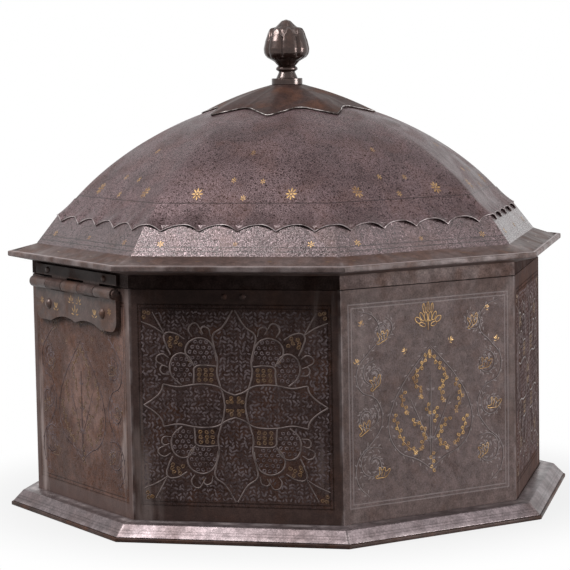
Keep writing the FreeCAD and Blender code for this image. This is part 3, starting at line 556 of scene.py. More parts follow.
leaves = []
for stem in range(-12, 13):
    for pair in range(-23, 24):
        for hand in (-1, 1):
            x, y = stem * STEM_PITCH + hand * STEM_GAP, pair * LEAF_PITCH
            lean = LEAF_LEAN if y > 0 else -LEAF_LEAN
            if open_ground(abs(x), abs(y)) and abs(y) > abs(x) * 1.05 and abs(y) < LEAF_LIMITS[1]:
                leaves.append(strewn(x, y, -hand * lean))
            x, y = pair * LEAF_PITCH, stem * STEM_PITCH + hand * STEM_GAP
            if open_ground(abs(x), abs(y)) and abs(x) > abs(y) * 1.05 and abs(x) < LEAF_LIMITS[0]:
                leaves.append(strewn(x, y, -math.pi / 2 + hand * LEAF_LEAN))
rings = []
for oval in (UPPER_OVAL, SIDE_OVAL):
    for row in range(-3, 4):
        for column in range(-3, 4):
            x, y = oval[0] + (column + 0.5 * (row % 2)) * 2.2, oval[1] + row * 1.95
            if in_oval(x, y, oval):
                rings.append(curl(x, y, 0.8, 1.1, start=row + column))
strap_wires = wires("straps", 0.68, quartered(STRAPS), taper=0.9)
strap_drawing = gathered("strapwork", [strap_wires, wires("strap curls", 0.62, quartered(STRAP_CURLS))])
leaves.append(wires("rings", 0.42, quartered(rings), smooth=2))
leaf_drawing = gathered("strapwork leaves", leaves)

GOLD_COLUMNS = [(-2.4, 0, -1), (2.4, 0, 1), (0, 1.5, 1)]
GOLD_FOOT = 10.0
GOLD_PITCH = 1.9
GOLD_SPRAY = [(21.2, 23.4), (22.9, 24.5), (24.6, 25.8), (22.4, 26.2), (24.9, 22.9), (25.2, 24.2)]
GOLD_ENDS = [(1.5, 1.7), (3.0, 1.6), (1.6, 3.2), (33.4, 35.6), (35.4, 34.0), (34.9, 35.9)]
GOLD_FLOWERS = [(17.3, 17.0, 0.9), (13.0, 28.4, 0.8)]
gold_curls = []
for shift, begun, hand in GOLD_COLUMNS:
    for row in range(3):
        x, y = CARTOUCHE[0] + shift, GOLD_FOOT + row * GOLD_PITCH
        gold_curls.append(curl(x, y, 0.85, 1.3, row + begun, hand))
gold_curls += [curl(x, y, 0.85, 1.3, x) for x, y in GOLD_SPRAY]
gold_curls += [curl(x, y, 0.8, 1.4, y) for x, y in GOLD_ENDS]
gold_parts = [wires("gold curls", 0.42, quartered(gold_curls), smooth=3)]
for right, top in QUARTERS:
    for x, y, size in GOLD_FLOWERS:
        gold_parts += rosette(x * right, y * top + PANEL_MID, size, 4)
strap_gold_drawing = gathered("strapwork gold", gold_parts)

TREE_LINES = [
    [(-0.8, 69.4), (4, 64.6), (7.5, 59.8), (4.8, 54.4), (6.3, 50.1)],
    [(-0.8, 69.4), (-4, 64.6), (-7.9, 59.2), (-4, 54.4), (-4.8, 52.5)],
    [(-12.7, 55.1), (-13.5, 52), (-11.1, 46.8)],
    [(11.9, 57.6), (14.7, 51.7), (12.3, 45.5)],
    [(-17.1, 46.3), (-15.5, 41.4), (-12.7, 35.5), (-7.1, 31.2)],
    [(-8.7, 43.4), (-3.6, 40.5), (-2.8, 37.3), (-4.8, 32.3)],
    [(16.7, 43.3), (15.5, 37.7), (11.5, 33)],
    [(8.7, 43.3), (4.4, 38.6), (4, 34.2), (7.9, 31.7)],
    [(-1.6, 49.2), (-0.8, 45.3)],
    [(2.4, 47.6), (2.4, 42)],
    [(0.4, 30), (0.8, 22.4)],
]
TULIP_OUTLINE = [(-3.3, -2.1), (-1.8, -1), (-2, 0.4), (-2.5, 1.9), (-1, 0.9), (-0.1, 2.3), (0.8, 0.9),
                 (2.4, 2.2), (2.1, 0.3), (1.3, -1.2), (-0.4, -1.8)]
TULIP_RIBS = [[(-0.7, -1.2), (-0.8, -0.2), (-0.6, 0.6)], [(0.4, -1.1), (0.5, -0.2), (0.4, 0.6)]]
TULIP_PETALS = [(0, 0.25, 0, 3, 0.7), (1.1, 0.1, -0.5, 3.4, 0.7), (-1.1, 0.1, 0.5, 3.4, 0.7),
                (1.7, -1.9, -1.1, 2.6, 0.5), (-1.7, -1.9, 1.1, 2.6, 0.5)]
PALMETTE_LOOPS = [(0, 6.3, 0.5, 1.9, 0), (1.9, 5.9, 0.5, 1.8, -0.12), (1, 2.6, 0.7, 1.8, -0.1),
                  (2.9, 2.7, 0.75, 1.8, -0.45), (4.7, 1.5, 0.9, 1.6, -0.95), (2.7, -0.3, 0.7, 1.5, -1.2)]
TULIPS = [(-21.9, 77.1, 0.5), (20.7, 80.1, 1.2), (26.9, 62.7, -0.9), (-25.3, 60, 1.3), (-30.5, 43.1, 1),
          (31.2, 46.5, -1.2), (25.5, 28.6, 0.9), (-22.4, 24.7, -1.1)]
BUDS = [(-32, 83.2, 0.3), (-12.3, 71.1, 0.9), (27.4, 85, -0.6), (10.1, 73.6, -0.9), (31.7, 72.4, 0.4),
        (-33.9, 68.7, -0.3)]
PALMETTE_PLACE = (-0.8, 80.6)
PALMETTE_STEM = [(-0.8, 78), (-0.8, 82), (-0.8, 84.4)]
VINE_LIMIT = 35.6
VINES = [
    [(29, 16.2), (34.2, 22), (33.8, 31), (27, 37.5), (22.6, 45), (25.4, 53.5), (32.6, 57.4),
     (34, 65), (28.6, 71.6), (23.6, 77), (25.6, 84.6), (33, 87.6)],
    [(0, 72), (6, 66), (12.6, 58.6), (18.4, 49), (19.6, 40), (14.6, 31.8), (6, 28), (0, 24)],
    [(0.3, 24), (0.4, 40), (0.3, 60)],
    [(0.3, 34), (4, 41), (9.4, 52)],
    curl(27, 28.6, 7, 1.25, 0.6, 1),
    curl(29.6, 46.8, 5.6, 1.2, 3.4, -1),
    curl(26.6, 63, 5.4, 1.2, 0.5, 1),
    curl(21.6, 80, 4.6, 1.2, 3, -1),
]
HINGE_EDGE = 74.0


def beside(first, second, share, offset):
    """A point part of the way between two others, moved to one side of their line."""
    length = math.dist(first, second)
    run_x, run_y = second[0] - first[0], second[1] - first[1]
    x, y = first[0] + share * run_x, first[1] + share * run_y
    return x - offset * run_y / length, y + offset * run_x / length


def chain(line, pitch=1.7, size=0.75, swing=0.65):
    """A line of small gold curls that swing from side to side along a path."""
    curls = []
    along = 0.0
    flip = 1
    for a, b in zip(line, line[1:]):
        length = math.dist(a, b)
        while along < length:
            share = along / length
            curls.append(curl(*beside(a, b, share, flip * swing), size, 1.1, share * 6, flip))
            flip = -flip
            along += pitch
        along -= length
    return curls


def turned(points, x, y, turn):
    """Points turned about their own middle and moved to a place."""
    cosine, sine = math.cos(turn), math.sin(turn)
    return [(x + a * cosine - b * sine, y + a * sine + b * cosine) for a, b in points]


def tulip(x, y, turn, size):
    """A gold tulip of three petals and two leaves, turned from upright."""
    parts = []
    for sideways, up, lean, length, width in TULIP_PETALS:
        [place] = turned([(sideways * size, up * size)], x, y, turn)
        parts.append(leaf(*place, turn + lean, length * size, width * size))
    return parts


def palmette(x, y, size, petals=5, spread=2.9):
    """A fan of leaves."""
    parts = []
    for petal in range(petals):
        turn = spread * (petal / (petals - 1) - 0.5)
        reach = size * (0.62 - 0.12 * abs(turn))
        parts.append(leaf(x - reach * math.sin(turn), y + reach * math.cos(turn) - size * 0.3, turn,
                          size * (0.74 - 0.14 * abs(turn)), size * 0.13))
    return parts


tree_curls = [curl_line for line in TREE_LINES for curl_line in chain(line)]
tree_gold = [wires("tree curls", 0.5, tree_curls, smooth=2), wires("tree stems", 0.4, TREE_LINES)]
outlines = []
ribs = []
for x, y, turn in TULIPS:
    outlines.append(turned(TULIP_OUTLINE, x, y, turn * 0.25))
    ribs += [turned(rib, x, y, turn * 0.25) for rib in TULIP_RIBS]
for sideways, up, half, rise, lean in PALMETTE_LOOPS:
    loop = [(half * math.cos(step * math.pi / 4), rise * math.sin(step * math.pi / 4)) for step in range(8)]
    for hand in ((1, -1) if sideways else (1,)):
        x, y = hand * sideways + PALMETTE_PLACE[0], up + PALMETTE_PLACE[1]
        outlines.append(turned(loop, x, y, hand * lean))
tree_gold.append(wires("tulip outlines", 0.44, outlines, closed=True, smooth=3))
tree_gold.append(wires("tulip ribs", 0.4, ribs))
tree_gold.append(wires("palmette stem", 0.6, [PALMETTE_STEM]))
for x, y, turn in BUDS:
    tree_gold += tulip(x, y, turn, 0.5)
for line in TREE_LINES[:8]:
    tree_gold += rosette(line[-1][0], line[-1][1], 1.1, 5)
tree_gold_drawing = gathered("tree gold", tree_gold)

vine_lines = [[(x * right, y) for x, y in line] for line in VINES for right in (1, -1)]


def leafy(name, lines, gap=1.1, lean=0.7):
    """A flat drawing of vines with pairs of small leaves along them."""
    parts = [wires(name, 0.52, lines)]
    for line in lines:
        for a, b in zip(line, line[1:]):
            course = math.atan2(b[1] - a[1], b[0] - a[0]) - math.pi / 2
            for share in (0.25, 0.75):
                for hand in (-1, 1):
                    x, y = beside(a, b, share, hand * gap)
                    if abs(x) < VINE_LIMIT:
                        parts.append(leaf(x, y, course + hand * lean, 1.6, 0.5))
    return gathered(name, parts)


vine_drawing = leafy("vines", vine_lines)
low_vine_drawing = leafy("low vines", [line for line in vine_lines if min(y for x, y in line) < HINGE_EDGE])

on_wall = straight((WALL_OUT, 0), (WALL_OUT, 96))
wall_drawings = {
    "strapwork": [("straps", strap_drawing, silver_strap), ("leaves", leaf_drawing, silver_leaf),
                  ("strap_gold", strap_gold_drawing, gold_dull)],
    "tree": [("vines", vine_drawing, silver_vine), ("tree", tree_gold_drawing, gold_bright)],
    "worn": [("vines", low_vine_drawing, silver_leaf), ("tree", tree_gold_drawing, gold_dull)],
}
for side, (wall, kind) in enumerate(WALLS.items()):
    for name, drawing, metal in wall_drawings[kind]:
        laid(f"{name}_{wall}", drawing, on_wall, side, "casket", metal)


# Inner rim: plain upright strips of dark iron inside the tops of the walls, which the lid closes over. Two
# small rivets through the front wall hold it.
bare_iron = iron("bare iron", DARK_IRON, BROWN_IRON, 0.6)
finished("inner_rim", bare_iron, 0.3)
finished("rim_rivets", bare_iron, 0.2)


# Hinge: a shaped leaf riveted on the front-left wall and a strap on the lid, their knuckles on one pin. All
# are of brown iron that use has polished a little, with gold sprigs on the leaf; painted shade darkens the
# strap.
LEAF_OUT = 101.4
LEAF_MIDDLE = 85.6
STRAP_FOOT = 96.6
# Painted shade: this colour darkens the strap above the knuckles, as if it lay in the cornice's shadow.
STRAP_PAINTED_SHADE = (0.35, 0.3, 0.28, 1)
hinge_iron = iron("hinge iron", BROWN_IRON, GREY_IRON, 0.8, 0.3, gloss=0.3)
finished("hinge_leaf_lower", hinge_iron, 0.3)


def spot_height(tree, spot):
    """The height of a point of the surface."""
    return shader(tree, "ShaderNodeSeparateXYZ", {"Vector": spot}).outputs["Z"]


def strap_dress(tree, spot, colour, height):
    """The strap above the knuckles, darkened with painted shade that stands in for the cornice's shadow."""
    above = ramped(tree, spot_height(tree, spot), STRAP_FOOT * MM, (STRAP_FOOT + 1.0) * MM)
    return blended(tree, above, colour, STRAP_PAINTED_SHADE, "MULTIPLY"), height


strap_iron = iron("hinge strap iron", BROWN_IRON, GREY_IRON, 0.8, 0.2, dress=strap_dress, gloss=0.05)
finished("hinge_leaf_upper", strap_iron, 0.3)
for name in ("hinge_rivets_lower", "hinge_rivets_upper", "hinge_pin"):
    finished(name, hinge_iron, 0.15)
leaf_gold = []
for hand in (-1, 1):
    leaf_gold += rosette(29.0 * hand, LEAF_MIDDLE + 0.8, 1.5, 6)
    leaf_gold += tulip(16.6 * hand, LEAF_MIDDLE - 0.6, 0.0, 0.8)
    leaf_gold += palmette(3.2 * hand, LEAF_MIDDLE + 2.6, 3.4)
leaf_gold += palmette(0.0, LEAF_MIDDLE - 1.6, 4.4)
sprigs = gathered("hinge sprigs", leaf_gold)
on_leaf = straight((LEAF_OUT, 0), (LEAF_OUT, 96))
hinge_side = list(WALLS).index("front_left")
laid("hinge_sprigs", sprigs, on_leaf, hinge_side, "casket", gold_bright)


# Lid skirt: an upright band of plain iron flush with the walls, its joint with them a dark line. It is the
# barest part of the lid, greyed by handling, and every second side is darkened with painted shade.
SKIRT_PALE = (0.15, 0.118, 0.112, 1)
# Painted shade: this colour darkens every second side of the skirt, as the cornice's shadow would.
SKIRT_PAINTED_SHADE = (0.3, 0.26, 0.25, 1)


def skirt_dress(tree, spot, colour, height):
    """Painted shade on every second side, above the strapwork walls, as dark as the wall below it: it stands
    in for the cornice's shadow.
    """
    place = shader(tree, "ShaderNodeSeparateXYZ", {"Vector": spot})
    bearing = worked(tree, "ARCTAN2", place.outputs["Y"], place.outputs["X"])
    swing = worked(tree, "COSINE", times(tree, bearing, SIDES / 2))
    browned_and_shaded = worked(tree, "GREATER_THAN", swing, 0.0)
    return blended(tree, browned_and_shaded, colour, SKIRT_PAINTED_SHADE, "MULTIPLY"), height


skirt_iron = iron("skirt iron", GREY_IRON, SKIRT_PALE, 0.4, 0.05, dress=skirt_dress, gloss=0.0)
finished("lid_skirt", skirt_iron, 0.25)


# Cornice: a ring of iron beaten out into a flaring lip with a bead, rubbed bright along the lip and at the
# corners. Inside the lip run a dark scribed line and a painted highlight along the bead; short gold dashes
# lie on the slope.
CORNICE_LIP = 108.6
CORNICE_SLOPE = ((107.1, 104.9), (97.5, 108.5))
# The second line, in the rubbed iron colour, is a painted highlight along the bead.
CORNICE_SCRIBE_AND_HIGHLIGHT = ((106.6, SCRIBED), (107.6, RUBBED_IRON_AND_HIGHLIGHT))
CORNICE_DASHES = (-36, -13, 15, 37)


def cornice_dress(tree, spot, colour, height):
    """Bright wear on the lip and corners; inside the lip a dark scribed line and a bright line of painted
    highlight.
    """
    side = placed(tree, eight_sides, {"Vector": spot})
    out = side.outputs["Out"]
    lip = rubbed(tree, spot, worked(tree, "SUBTRACT", CORNICE_LIP * MM, out), 1.2)
    corner = rubbed(tree, spot, side.outputs["To Arris"], 1.2)
    colour = tinted(tree, worked(tree, "MAXIMUM", lip, corner), 0.3, colour, RUBBED_IRON_AND_HIGHLIGHT)
    for line, tone in CORNICE_SCRIBE_AND_HIGHLIGHT:
        drawn = ramped(tree, apart(tree, out, line * MM), 0.12 * MM, 0.4 * MM, 0.6, 0.0)
        colour = blended(tree, drawn, colour, tone)
    return colour, height


finished("cornice", iron("cornice iron", BROWN_IRON, GREY_IRON, 0.4, dress=cornice_dress), 0.3)
on_cornice = straight(*CORNICE_SLOPE)
dash_gold = [leaf(place, 6.0, math.pi / 2, 3.4, 1.1) for place in CORNICE_DASHES]


def laid_round(name, drawing, place, metal):
    """Lays a flat drawing on all eight sides of the lid."""
    for side in range(SIDES):
        laid(f"{name}_{side}", drawing, place, side, "lid", metal)


laid_round("cornice_dashes", gathered("cornice dashes", dash_gold), on_cornice, gold_dull)


# Dome: eight curved gores beaten from one sheet of iron, scored all over with fine silver scrolls and sown
# with small gold flowers. Its ridges are crisp at the foot and fade towards the crown.
DOME_RADIUS = 109.55
DOME_MIDDLE = 56.47
DOME_INSET = 1.7
DOME_FOOT_LIFT = math.radians(28.3)
DOME_HEAD_LIFT = math.radians(79)
DOME_SHEET = 1.2
RIDGE_LOST = 35
RIDGE_CRISP = 92
RIDGE_LEAST = 0.25
RIDGE_MOST = 0.98
GORE_SWELL = 0.028
SCROLL_SILVER = (0.195, 0.134, 0.141, 1)
DOME_LINES = (110.2, 111.8, 127.6)
DOME_DARK = (0.016, 0.0075, 0.007, 1)
DOME_PALE = (0.022, 0.011, 0.0105, 1)
DOME_SCORING = 1100.0
DOME_FLOWERS = [(-18.6, 131, 2.3, 8, 0.24), (18.6, 131, 2.3, 8, 0.24), (-5.0, 136, 1.1, 6, 0.26),
                (6.5, 135.5, 1.1, 6, 0.26), (0, 129.5, 1.2, 6, 0.26), (0, 146, 1.0, 6, 0.26)]


def scrolled(amount):
    """Fine silver scrolls all over, with engraved lines that run round the lid."""
    def dress(tree, spot, colour, height):
        scored = placed(tree, scored_ground, {"Vector": spot, "Scale": DOME_SCORING})
        silvered = times(tree, scored.outputs["Mask"], amount)
        colour = blended(tree, silvered, colour, SCROLL_SILVER)
        for line in DOME_LINES:
            gap = apart(tree, spot_height(tree, spot), line * MM)
            colour = blended(tree, ramped(tree, gap, 0.1 * MM, 0.3 * MM, 0.6, 0.0), colour, SCRIBED)
        return colour, worked(tree, "ADD", height, times(tree, silvered, 0.6))
    return dress


dome_iron = iron("dome iron", DOME_DARK, DOME_PALE, 0.25, 0.3, dress=scrolled(1.0), gloss=0.1, polish=0.85)


def sheet_of_gores(name, columns, rows, point, thickness, material):
    """A sheet over all eight sides of the lid: a shaped grid for each, joined and given thickness."""
    gores = []
    for side in range(SIDES):
        bpy.ops.mesh.primitive_grid_add(x_subdivisions=columns, y_subdivisions=rows, size=1)
        gore = bpy.context.object
        turn = side_turn(side)
        for corner in gore.data.vertices:
            sideways, outward, height = point(corner.co.x, corner.co.y + 0.5)
            corner.co = turn @ Vector((sideways, -outward, height))
        gores.append(gore)
    for gore in gores:
        gore.select_set(True)
    bpy.ops.object.join()
    sheet = bpy.context.object
    sheet.name = name
    bpy.ops.object.mode_set(mode="EDIT")
    bpy.ops.mesh.select_all(action="SELECT")
    bpy.ops.mesh.remove_doubles(threshold=0.02 * MM)
    bpy.ops.object.mode_set(mode="OBJECT")
    wall = sheet.modifiers.new("sheet", "SOLIDIFY")
    wall.thickness = thickness * MM
    wall.offset = -1
    bpy.ops.object.modifier_apply(modifier="sheet")
    bpy.ops.object.shade_smooth_by_angle(angle=math.radians(32))
    sheet.data.materials.append(material)
    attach(sheet, "lid")
    return sheet


def dome_arc(lift):
    """Outward reach and height, in millimetres, of the middle of a gore at an angle above the horizontal."""
    return DOME_RADIUS * math.cos(lift) - DOME_INSET, DOME_MIDDLE + DOME_RADIUS * math.sin(lift)


def eased(value):
    """Smooth step from 0 to 1."""
    value = min(max(value, 0.0), 1.0)
    return value * value * (3 - 2 * value)


def softened(outward, bearing):
    """Sideways and outward place on a gore: a crisp ridge at the foot that fades to a round crown."""
    crisp = eased((outward - RIDGE_LOST) / (RIDGE_CRISP - RIDGE_LOST))
    ridge = RIDGE_LEAST + (RIDGE_MOST - RIDGE_LEAST) * crisp
    reach = outward * (1 + (1 / math.cos(bearing) - 1) * ridge + GORE_SWELL * (1 - ridge))
    return reach * math.sin(bearing), reach * math.cos(bearing)


def dome_point(share, climb):
    """A point of one gore, from its foot up to the opening under the cap."""
    outward, height = dome_arc(DOME_FOOT_LIFT + (DOME_HEAD_LIFT - DOME_FOOT_LIFT) * climb)
    sideways, outward = softened(outward, share * EIGHTH)
    return sideways * MM, outward * MM, height * MM


dome = sheet_of_gores("dome", 16, 40, dome_point, DOME_SHEET, dome_iron)
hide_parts("dome_shell")


def bunch(name, flowers):
    """A flat drawing of several rosettes."""
    return gathered(name, [part for flower in flowers for part in rosette(*flower)])


def on_dome(sideways, up, rise):
    """Where a drawing lies on a gore; its heights are heights above the casket's foot."""
    lift = math.asin((up / MM - DOME_MIDDLE) / DOME_RADIUS)
    outward, height = dome_arc(lift)
    sideways, outward = softened(outward, math.atan2(sideways / MM, outward))
    return sideways * MM, outward * MM + rise * math.cos(lift), height * MM + rise * math.sin(lift)


laid_round("dome_flowers", bunch("dome flowers", DOME_FLOWERS), on_dome, gold_bright)


# Scalloped band: a strip of thin sheet round the foot of the dome, and over it the edge of the dome's sheet,
# cut in arches. The edge has sprung from the band a little on one flank of each arch and is rubbed bright.
BAND_FOOT = (97.5, 108.5)
BAND_HEAD = (89.3, 119.7)
BAND_SHEET = 0.6
EDGE_SHEET = 0.3
LOBES = 5
LOBE_DROP = 2.9
LOBE_SPRING = 0.7
EDGE_RISE = 0.35
EDGE_ROOT = 126.4
EDGE_CLEAR = 0.06
BAND_FLOWERS = [(-29.4, 5.5, 1.5, 6, 0.26), (0, 5.5, 1.1, 6, 0.26), (29.4, 5.5, 1.5, 6, 0.26)]
on_band = straight(BAND_FOOT, BAND_HEAD)
BAND_WIDTH = math.dist(BAND_FOOT, BAND_HEAD)


def band_point(share, climb):
    """A point of the band on one side: share runs across it from -0.5 to 0.5, climb from foot to head."""
    sideways, outward, height = on_band(0, BAND_WIDTH * climb * MM, 0)
    return sideways + 2 * share * outward * HALF_SIDE, outward, height


def dome_reach(height):
    """How far out the middle of a gore stands at a height, in millimetres."""
    return math.sqrt(DOME_RADIUS ** 2 - (height - DOME_MIDDLE) ** 2) - DOME_INSET


def arch_point(share, climb):
    """A point of the dome's cut edge: climb runs from the edge of an arch up to the sheet it belongs to."""
    place = (share + 0.5) * LOBES
    flank = place - round(place)
    up = BAND_WIDTH - LOBE_DROP * (2 * flank) ** 2
    sprung = EDGE_RISE + LOBE_SPRING * max(0.0, math.sin(2 * math.pi * flank))
    edge_out, edge_height = (value / MM for value in on_band(0, up * MM, sprung * MM)[1:])
    height = edge_height + (EDGE_ROOT - edge_height) * climb
    flare = edge_out - dome_reach(edge_height)
    outward = dome_reach(height) + EDGE_CLEAR + (flare - EDGE_CLEAR) * (1 - climb) ** 2.4
    return 2 * share * outward * HALF_SIDE * MM, outward * MM, height * MM


def edge_wire(name, point, steps, width, material):
    """A thin bright line along the rubbed lower edge of a sheet, round all eight sides."""
    curve = wire_curve(name, width, 1)
    line = curve.splines.new("POLY")
    line.points.add(SIDES * steps - 1)
    for number, knot in enumerate(line.points):
        sideways, outward, height = point(number % steps / steps - 0.5, 0.0)
        knot.co = (*(side_turn(number // steps) @ Vector((sideways, -outward, height))), 1)
    line.use_cyclic_u = True
    mesh = meshed(curve)
    mesh.polygons.foreach_set("use_smooth", [True] * len(mesh.polygons))
    fitted(name, mesh, material, "lid")


band_iron = iron("band iron", DOME_DARK, DOME_PALE, 0.25, 0.35, dress=scrolled(1.0), gloss=0.4, polish=0.42)
band = sheet_of_gores("scalloped_band", 10, 6, band_point, BAND_SHEET, band_iron)
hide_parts("dome_band")
rubbed_edge = inlay("rubbed edge", RUBBED_IRON_AND_HIGHLIGHT, GREY_IRON, 0.06)
sheet_of_gores("dome_edge", 60, 12, arch_point, EDGE_SHEET, dome_iron)
edge_wire("arch_edge", arch_point, 60, 0.3, rubbed_edge)
laid_round("band_flowers", bunch("band flowers", BAND_FLOWERS), on_band, gold_bright)


# Crown cap: a shallow sheet over the top of the dome, its edge cut in eight pointed petals that lie close on
# the gores, chipped and bright at the cuts.
CAP_DARK = (0.022, 0.012, 0.009, 1)
CAP_PALE = (0.036, 0.02, 0.017, 1)
CHIPPED_IRON = (0.72, 0.66, 0.64, 1)
CAP_TIP = 37.0
CAP_NOTCH = 28.6
CAP_NIB = 1.3
CAP_SEAT = 6.4
CAP_SHEET = 0.5
CAP_TOP = 171.34
CAP_CLEAR = 0.62
CAP_CURL = 0.7
CROWN_SWELL = 1.021


def crown_height(sideways, outward):
    """Height of the dome's round crown at a place, in millimetres."""
    reach = math.hypot(sideways, outward) / CROWN_SWELL
    return DOME_MIDDLE + math.sqrt(DOME_RADIUS ** 2 - (reach + DOME_INSET) ** 2)


CAP_RISE = CAP_TOP - crown_height(0, CAP_SEAT) - CAP_CLEAR


def cap_point(share, climb):
    """A point of one petal: climb runs from its edge up to the knob."""
    flank = abs(2 * share)
    edge = CAP_TIP - CAP_NIB - (CAP_TIP - CAP_NOTCH) * (0.5 - 0.5 * math.cos(math.pi * flank ** 0.9))
    edge += CAP_NIB * math.exp(-(flank / 0.14) ** 2)
    outward = edge + (CAP_SEAT - edge) * climb
    sideways = 2 * share * outward * HALF_SIDE
    height = crown_height(sideways, outward) + CAP_CLEAR + CAP_RISE * climb
    height += CAP_CURL * max(0.0, flank - 0.55) * (1 - climb) ** 6
    return sideways * MM, outward * MM, height * MM


cap_iron = iron("cap iron", CAP_DARK, CAP_PALE, 0.6, 0.2, dress=scrolled(0.12), gloss=0.05)
cap = sheet_of_gores("petal_cap", 40, 14, cap_point, CAP_SHEET, cap_iron)
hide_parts("crown_cap")
chipped_edge = inlay("chipped edge", CHIPPED_IRON, CAP_DARK, 0.16)
edge_wire("cap_edge", cap_point, 24, 0.4, chipped_edge)


# Knob: a turned plinth and a ringed neck under a lotus bud of chased petals, all of iron that is dark and
# smooth from handling. The neck's tang goes down through the cap and is riveted over a washer inside.
finial_iron = iron("knob iron", DARK_IRON, BROWN_IRON, 0.2, 0.6, 0.06, gloss=0.8, polish=0.55)
for name in ("finial_plinth", "finial_stem", "finial_washer"):
    finished(name, finial_iron, 0.2)
BUD_FOOT = 179.04
BUD_PETALS = 8
BUD_OUTLINE = [(0, 0), (3.6, 0), (5.3, 1.9), (8.4, 3.6), (9.25, 5.4), (9.4, 7.2), (8.7, 10.4), (7.6, 13.4),
               (6.4, 15.2), (4.2, 16.9), (1.9, 18.6), (0, 19.195)]
BUD_CLOSED = 19.2
PETAL_ROOT = 3.0
PETAL_TIP = 15.9
PETAL_CUT = 4.2
PETAL_DEEP = 0.75


def bud_outline(share):
    """Radius and height along the bud's outline, from its foot (0) to its tip (1)."""
    lengths = [math.dist(a, b) for a, b in zip(BUD_OUTLINE, BUD_OUTLINE[1:])]
    along = share * sum(lengths)
    for number, length in enumerate(lengths):
        if along <= length or number == len(lengths) - 1:
            break
        along -= length
    step = min(along / length, 1.0)
    (r0, h0), (r1, h1) = BUD_OUTLINE[number], BUD_OUTLINE[number + 1]
    return r0 + (r1 - r0) * step, h0 + (h1 - h0) * step


bpy.ops.mesh.primitive_uv_sphere_add(segments=192, ring_count=96, radius=1)
bud = bpy.context.object
bud.name = "lotus_bud"
for corner in bud.data.vertices:
    bearing = math.atan2(corner.co.y, corner.co.x)
    radius, height = bud_outline(1 - math.acos(min(1, max(-1, corner.co.z))) / math.pi)
    place = bearing / (2 * math.pi) * BUD_PETALS
    flank = abs(2 * (place - math.floor(place)) - 1)
    inner_flank = 1 - flank
    tip = PETAL_TIP - PETAL_CUT * flank ** 1.7
    opened = eased((height - PETAL_ROOT) / 1.5)
    covered = eased((tip - height) / 0.7 + 0.5) * opened
    flare = 0.55 * math.exp(-((tip - height) / 1.5) ** 2) * inner_flank
    outer = radius + 0.1 + flare - PETAL_DEEP * flank ** 4
    taper = eased((BUD_CLOSED - height) / 3.0)
    inner = radius - PETAL_DEEP * taper * opened - 0.3 * taper * inner_flank ** 4
    across = inner + (outer - inner) * covered
    across = max(0.0, across) if radius > 0.01 else 0.0
    corner.co = (across * math.cos(bearing) * MM, across * math.sin(bearing) * MM, (BUD_FOOT + height) * MM)
bpy.ops.object.shade_smooth_by_angle(angle=math.radians(50))
bud.data.materials.append(finial_iron)
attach(bud, "lid")
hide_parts("finial_bud")


# Stage: a paper floor that keeps the casket's shadow, and a white surround that it fades into. Both look
# white to the camera and in reflections, and light the casket little.
FLOOR_GREY = (0.14, 0.14, 0.14, 1)
WHITE = (1, 1, 1, 1)
SHADOW_NEAR = 0.1
SHADOW_FAR = 0.17
SHADOW_GLOW = 0.84
SURROUND_LIGHT = 0.03


def seen_rays(tree):
    """1 for a ray from the camera or one that a surface reflects or lets through, otherwise 0."""
    path = shader(tree, "ShaderNodeLightPath")
    seen = worked(tree, "MAXIMUM", path.outputs["Is Camera Ray"], path.outputs["Is Transmission Ray"])
    return worked(tree, "MAXIMUM", seen, path.outputs["Is Glossy Ray"])


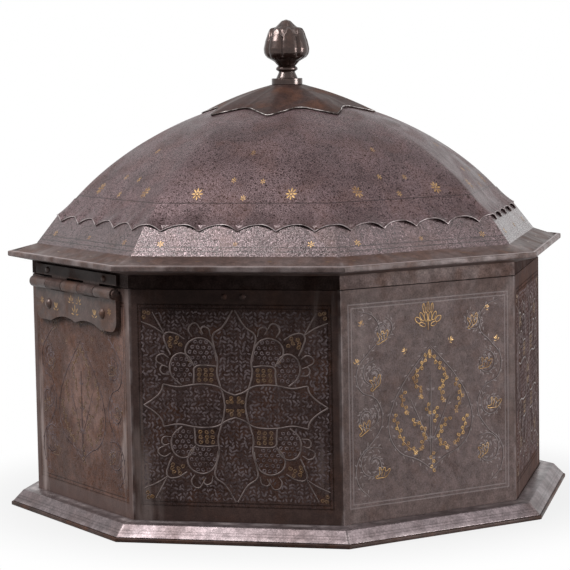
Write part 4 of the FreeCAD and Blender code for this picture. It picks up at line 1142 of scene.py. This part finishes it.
bpy.ops.mesh.primitive_circle_add(vertices=64, radius=3, fill_type="NGON")
floor = bpy.context.object
floor.name = "floor"
paper, tree, paper_surface, spot = material_begun("white paper", 0.0, 0.5)
floor.data.materials.append(paper)
paper_surface.inputs["Base Color"].default_value = FLOOR_GREY
paper_surface.inputs["Roughness"].default_value = 0.9
glow = shader(tree, "ShaderNodeEmission", {"Color": WHITE, "Strength": 1.0})
reach = shader(tree, "ShaderNodeVectorMath", {0: spot}, operation="LENGTH").outputs["Value"]
bright = ramped(tree, reach, SHADOW_NEAR, SHADOW_FAR, SHADOW_GLOW, 1.0)
lit = times(tree, seen_rays(tree), bright)
shown = shader(tree, "ShaderNodeMixShader", {0: lit, 1: paper_surface.outputs[0], 2: glow.outputs[0]})
tree.links.new(shown.outputs[0], tree.nodes["Material Output"].inputs["Surface"])

world = bpy.data.worlds.new("white surround")
bpy.context.scene.world = world
world.use_nodes = True
sky = world.node_tree
sky.nodes.clear()
strength = ramped(sky, seen_rays(sky), 0.0, 1.0, SURROUND_LIGHT, 1.0)
surround = shader(sky, "ShaderNodeBackground", {"Color": WHITE, "Strength": strength})
shader(sky, "ShaderNodeOutputWorld", {"Surface": surround.outputs["Background"]})


# Light: soft lamps high on the left that leave the front in the shadow of the cornice, a broad low one on
# the right that lights the right-hand walls, and a small one high on that side for the right of the dome.
LIGHT_AIM = Vector((0, 0, 0.1))


def softbox(name, place, size, power):
    """A square lamp that faces the casket."""
    lamp = bpy.data.lights.new(name, "AREA")
    lamp.size = size
    lamp.energy = power
    aim = (LIGHT_AIM - Vector(place)).to_track_quat("-Z", "Y").to_matrix().to_4x4()
    put(name, lamp).matrix_world = Matrix.Translation(place) @ aim


softbox("left lamp", (-0.9, -0.5, 1.0), 0.4, 17)
softbox("top lamp", (-0.5, -0.47, 1.2), 0.42, 9)
softbox("right lamp", (1.4, -0.12, 0.2), 0.5, 21)
softbox("high right lamp", (0.8, 0.0, 1.1), 0.4, 2.2)


# Camera: a long lens at the photograph's height and turn, with its slight lean. After it, the view is set.
CAMERA_PLACE = (0.2117, -0.9414, 0.1877)
CAMERA_YAW = 0.2212
CAMERA_PITCH = 0.1035
CAMERA_ROLL = -0.0172
lens = bpy.data.cameras.new("camera")
lens.lens = 146.0
lens.sensor_width = 36.0
lens.shift_x = -0.0098
camera = put("camera", lens)
camera.matrix_world = (
    Matrix.Translation(CAMERA_PLACE)
    @ Matrix.Rotation(CAMERA_YAW, 4, "Z")
    @ Matrix.Rotation(math.pi / 2 - CAMERA_PITCH, 4, "X")
    @ Matrix.Rotation(CAMERA_ROLL, 4, "Z")
)
bpy.context.scene.camera = camera
bpy.context.scene.view_settings.view_transform = "Standard"
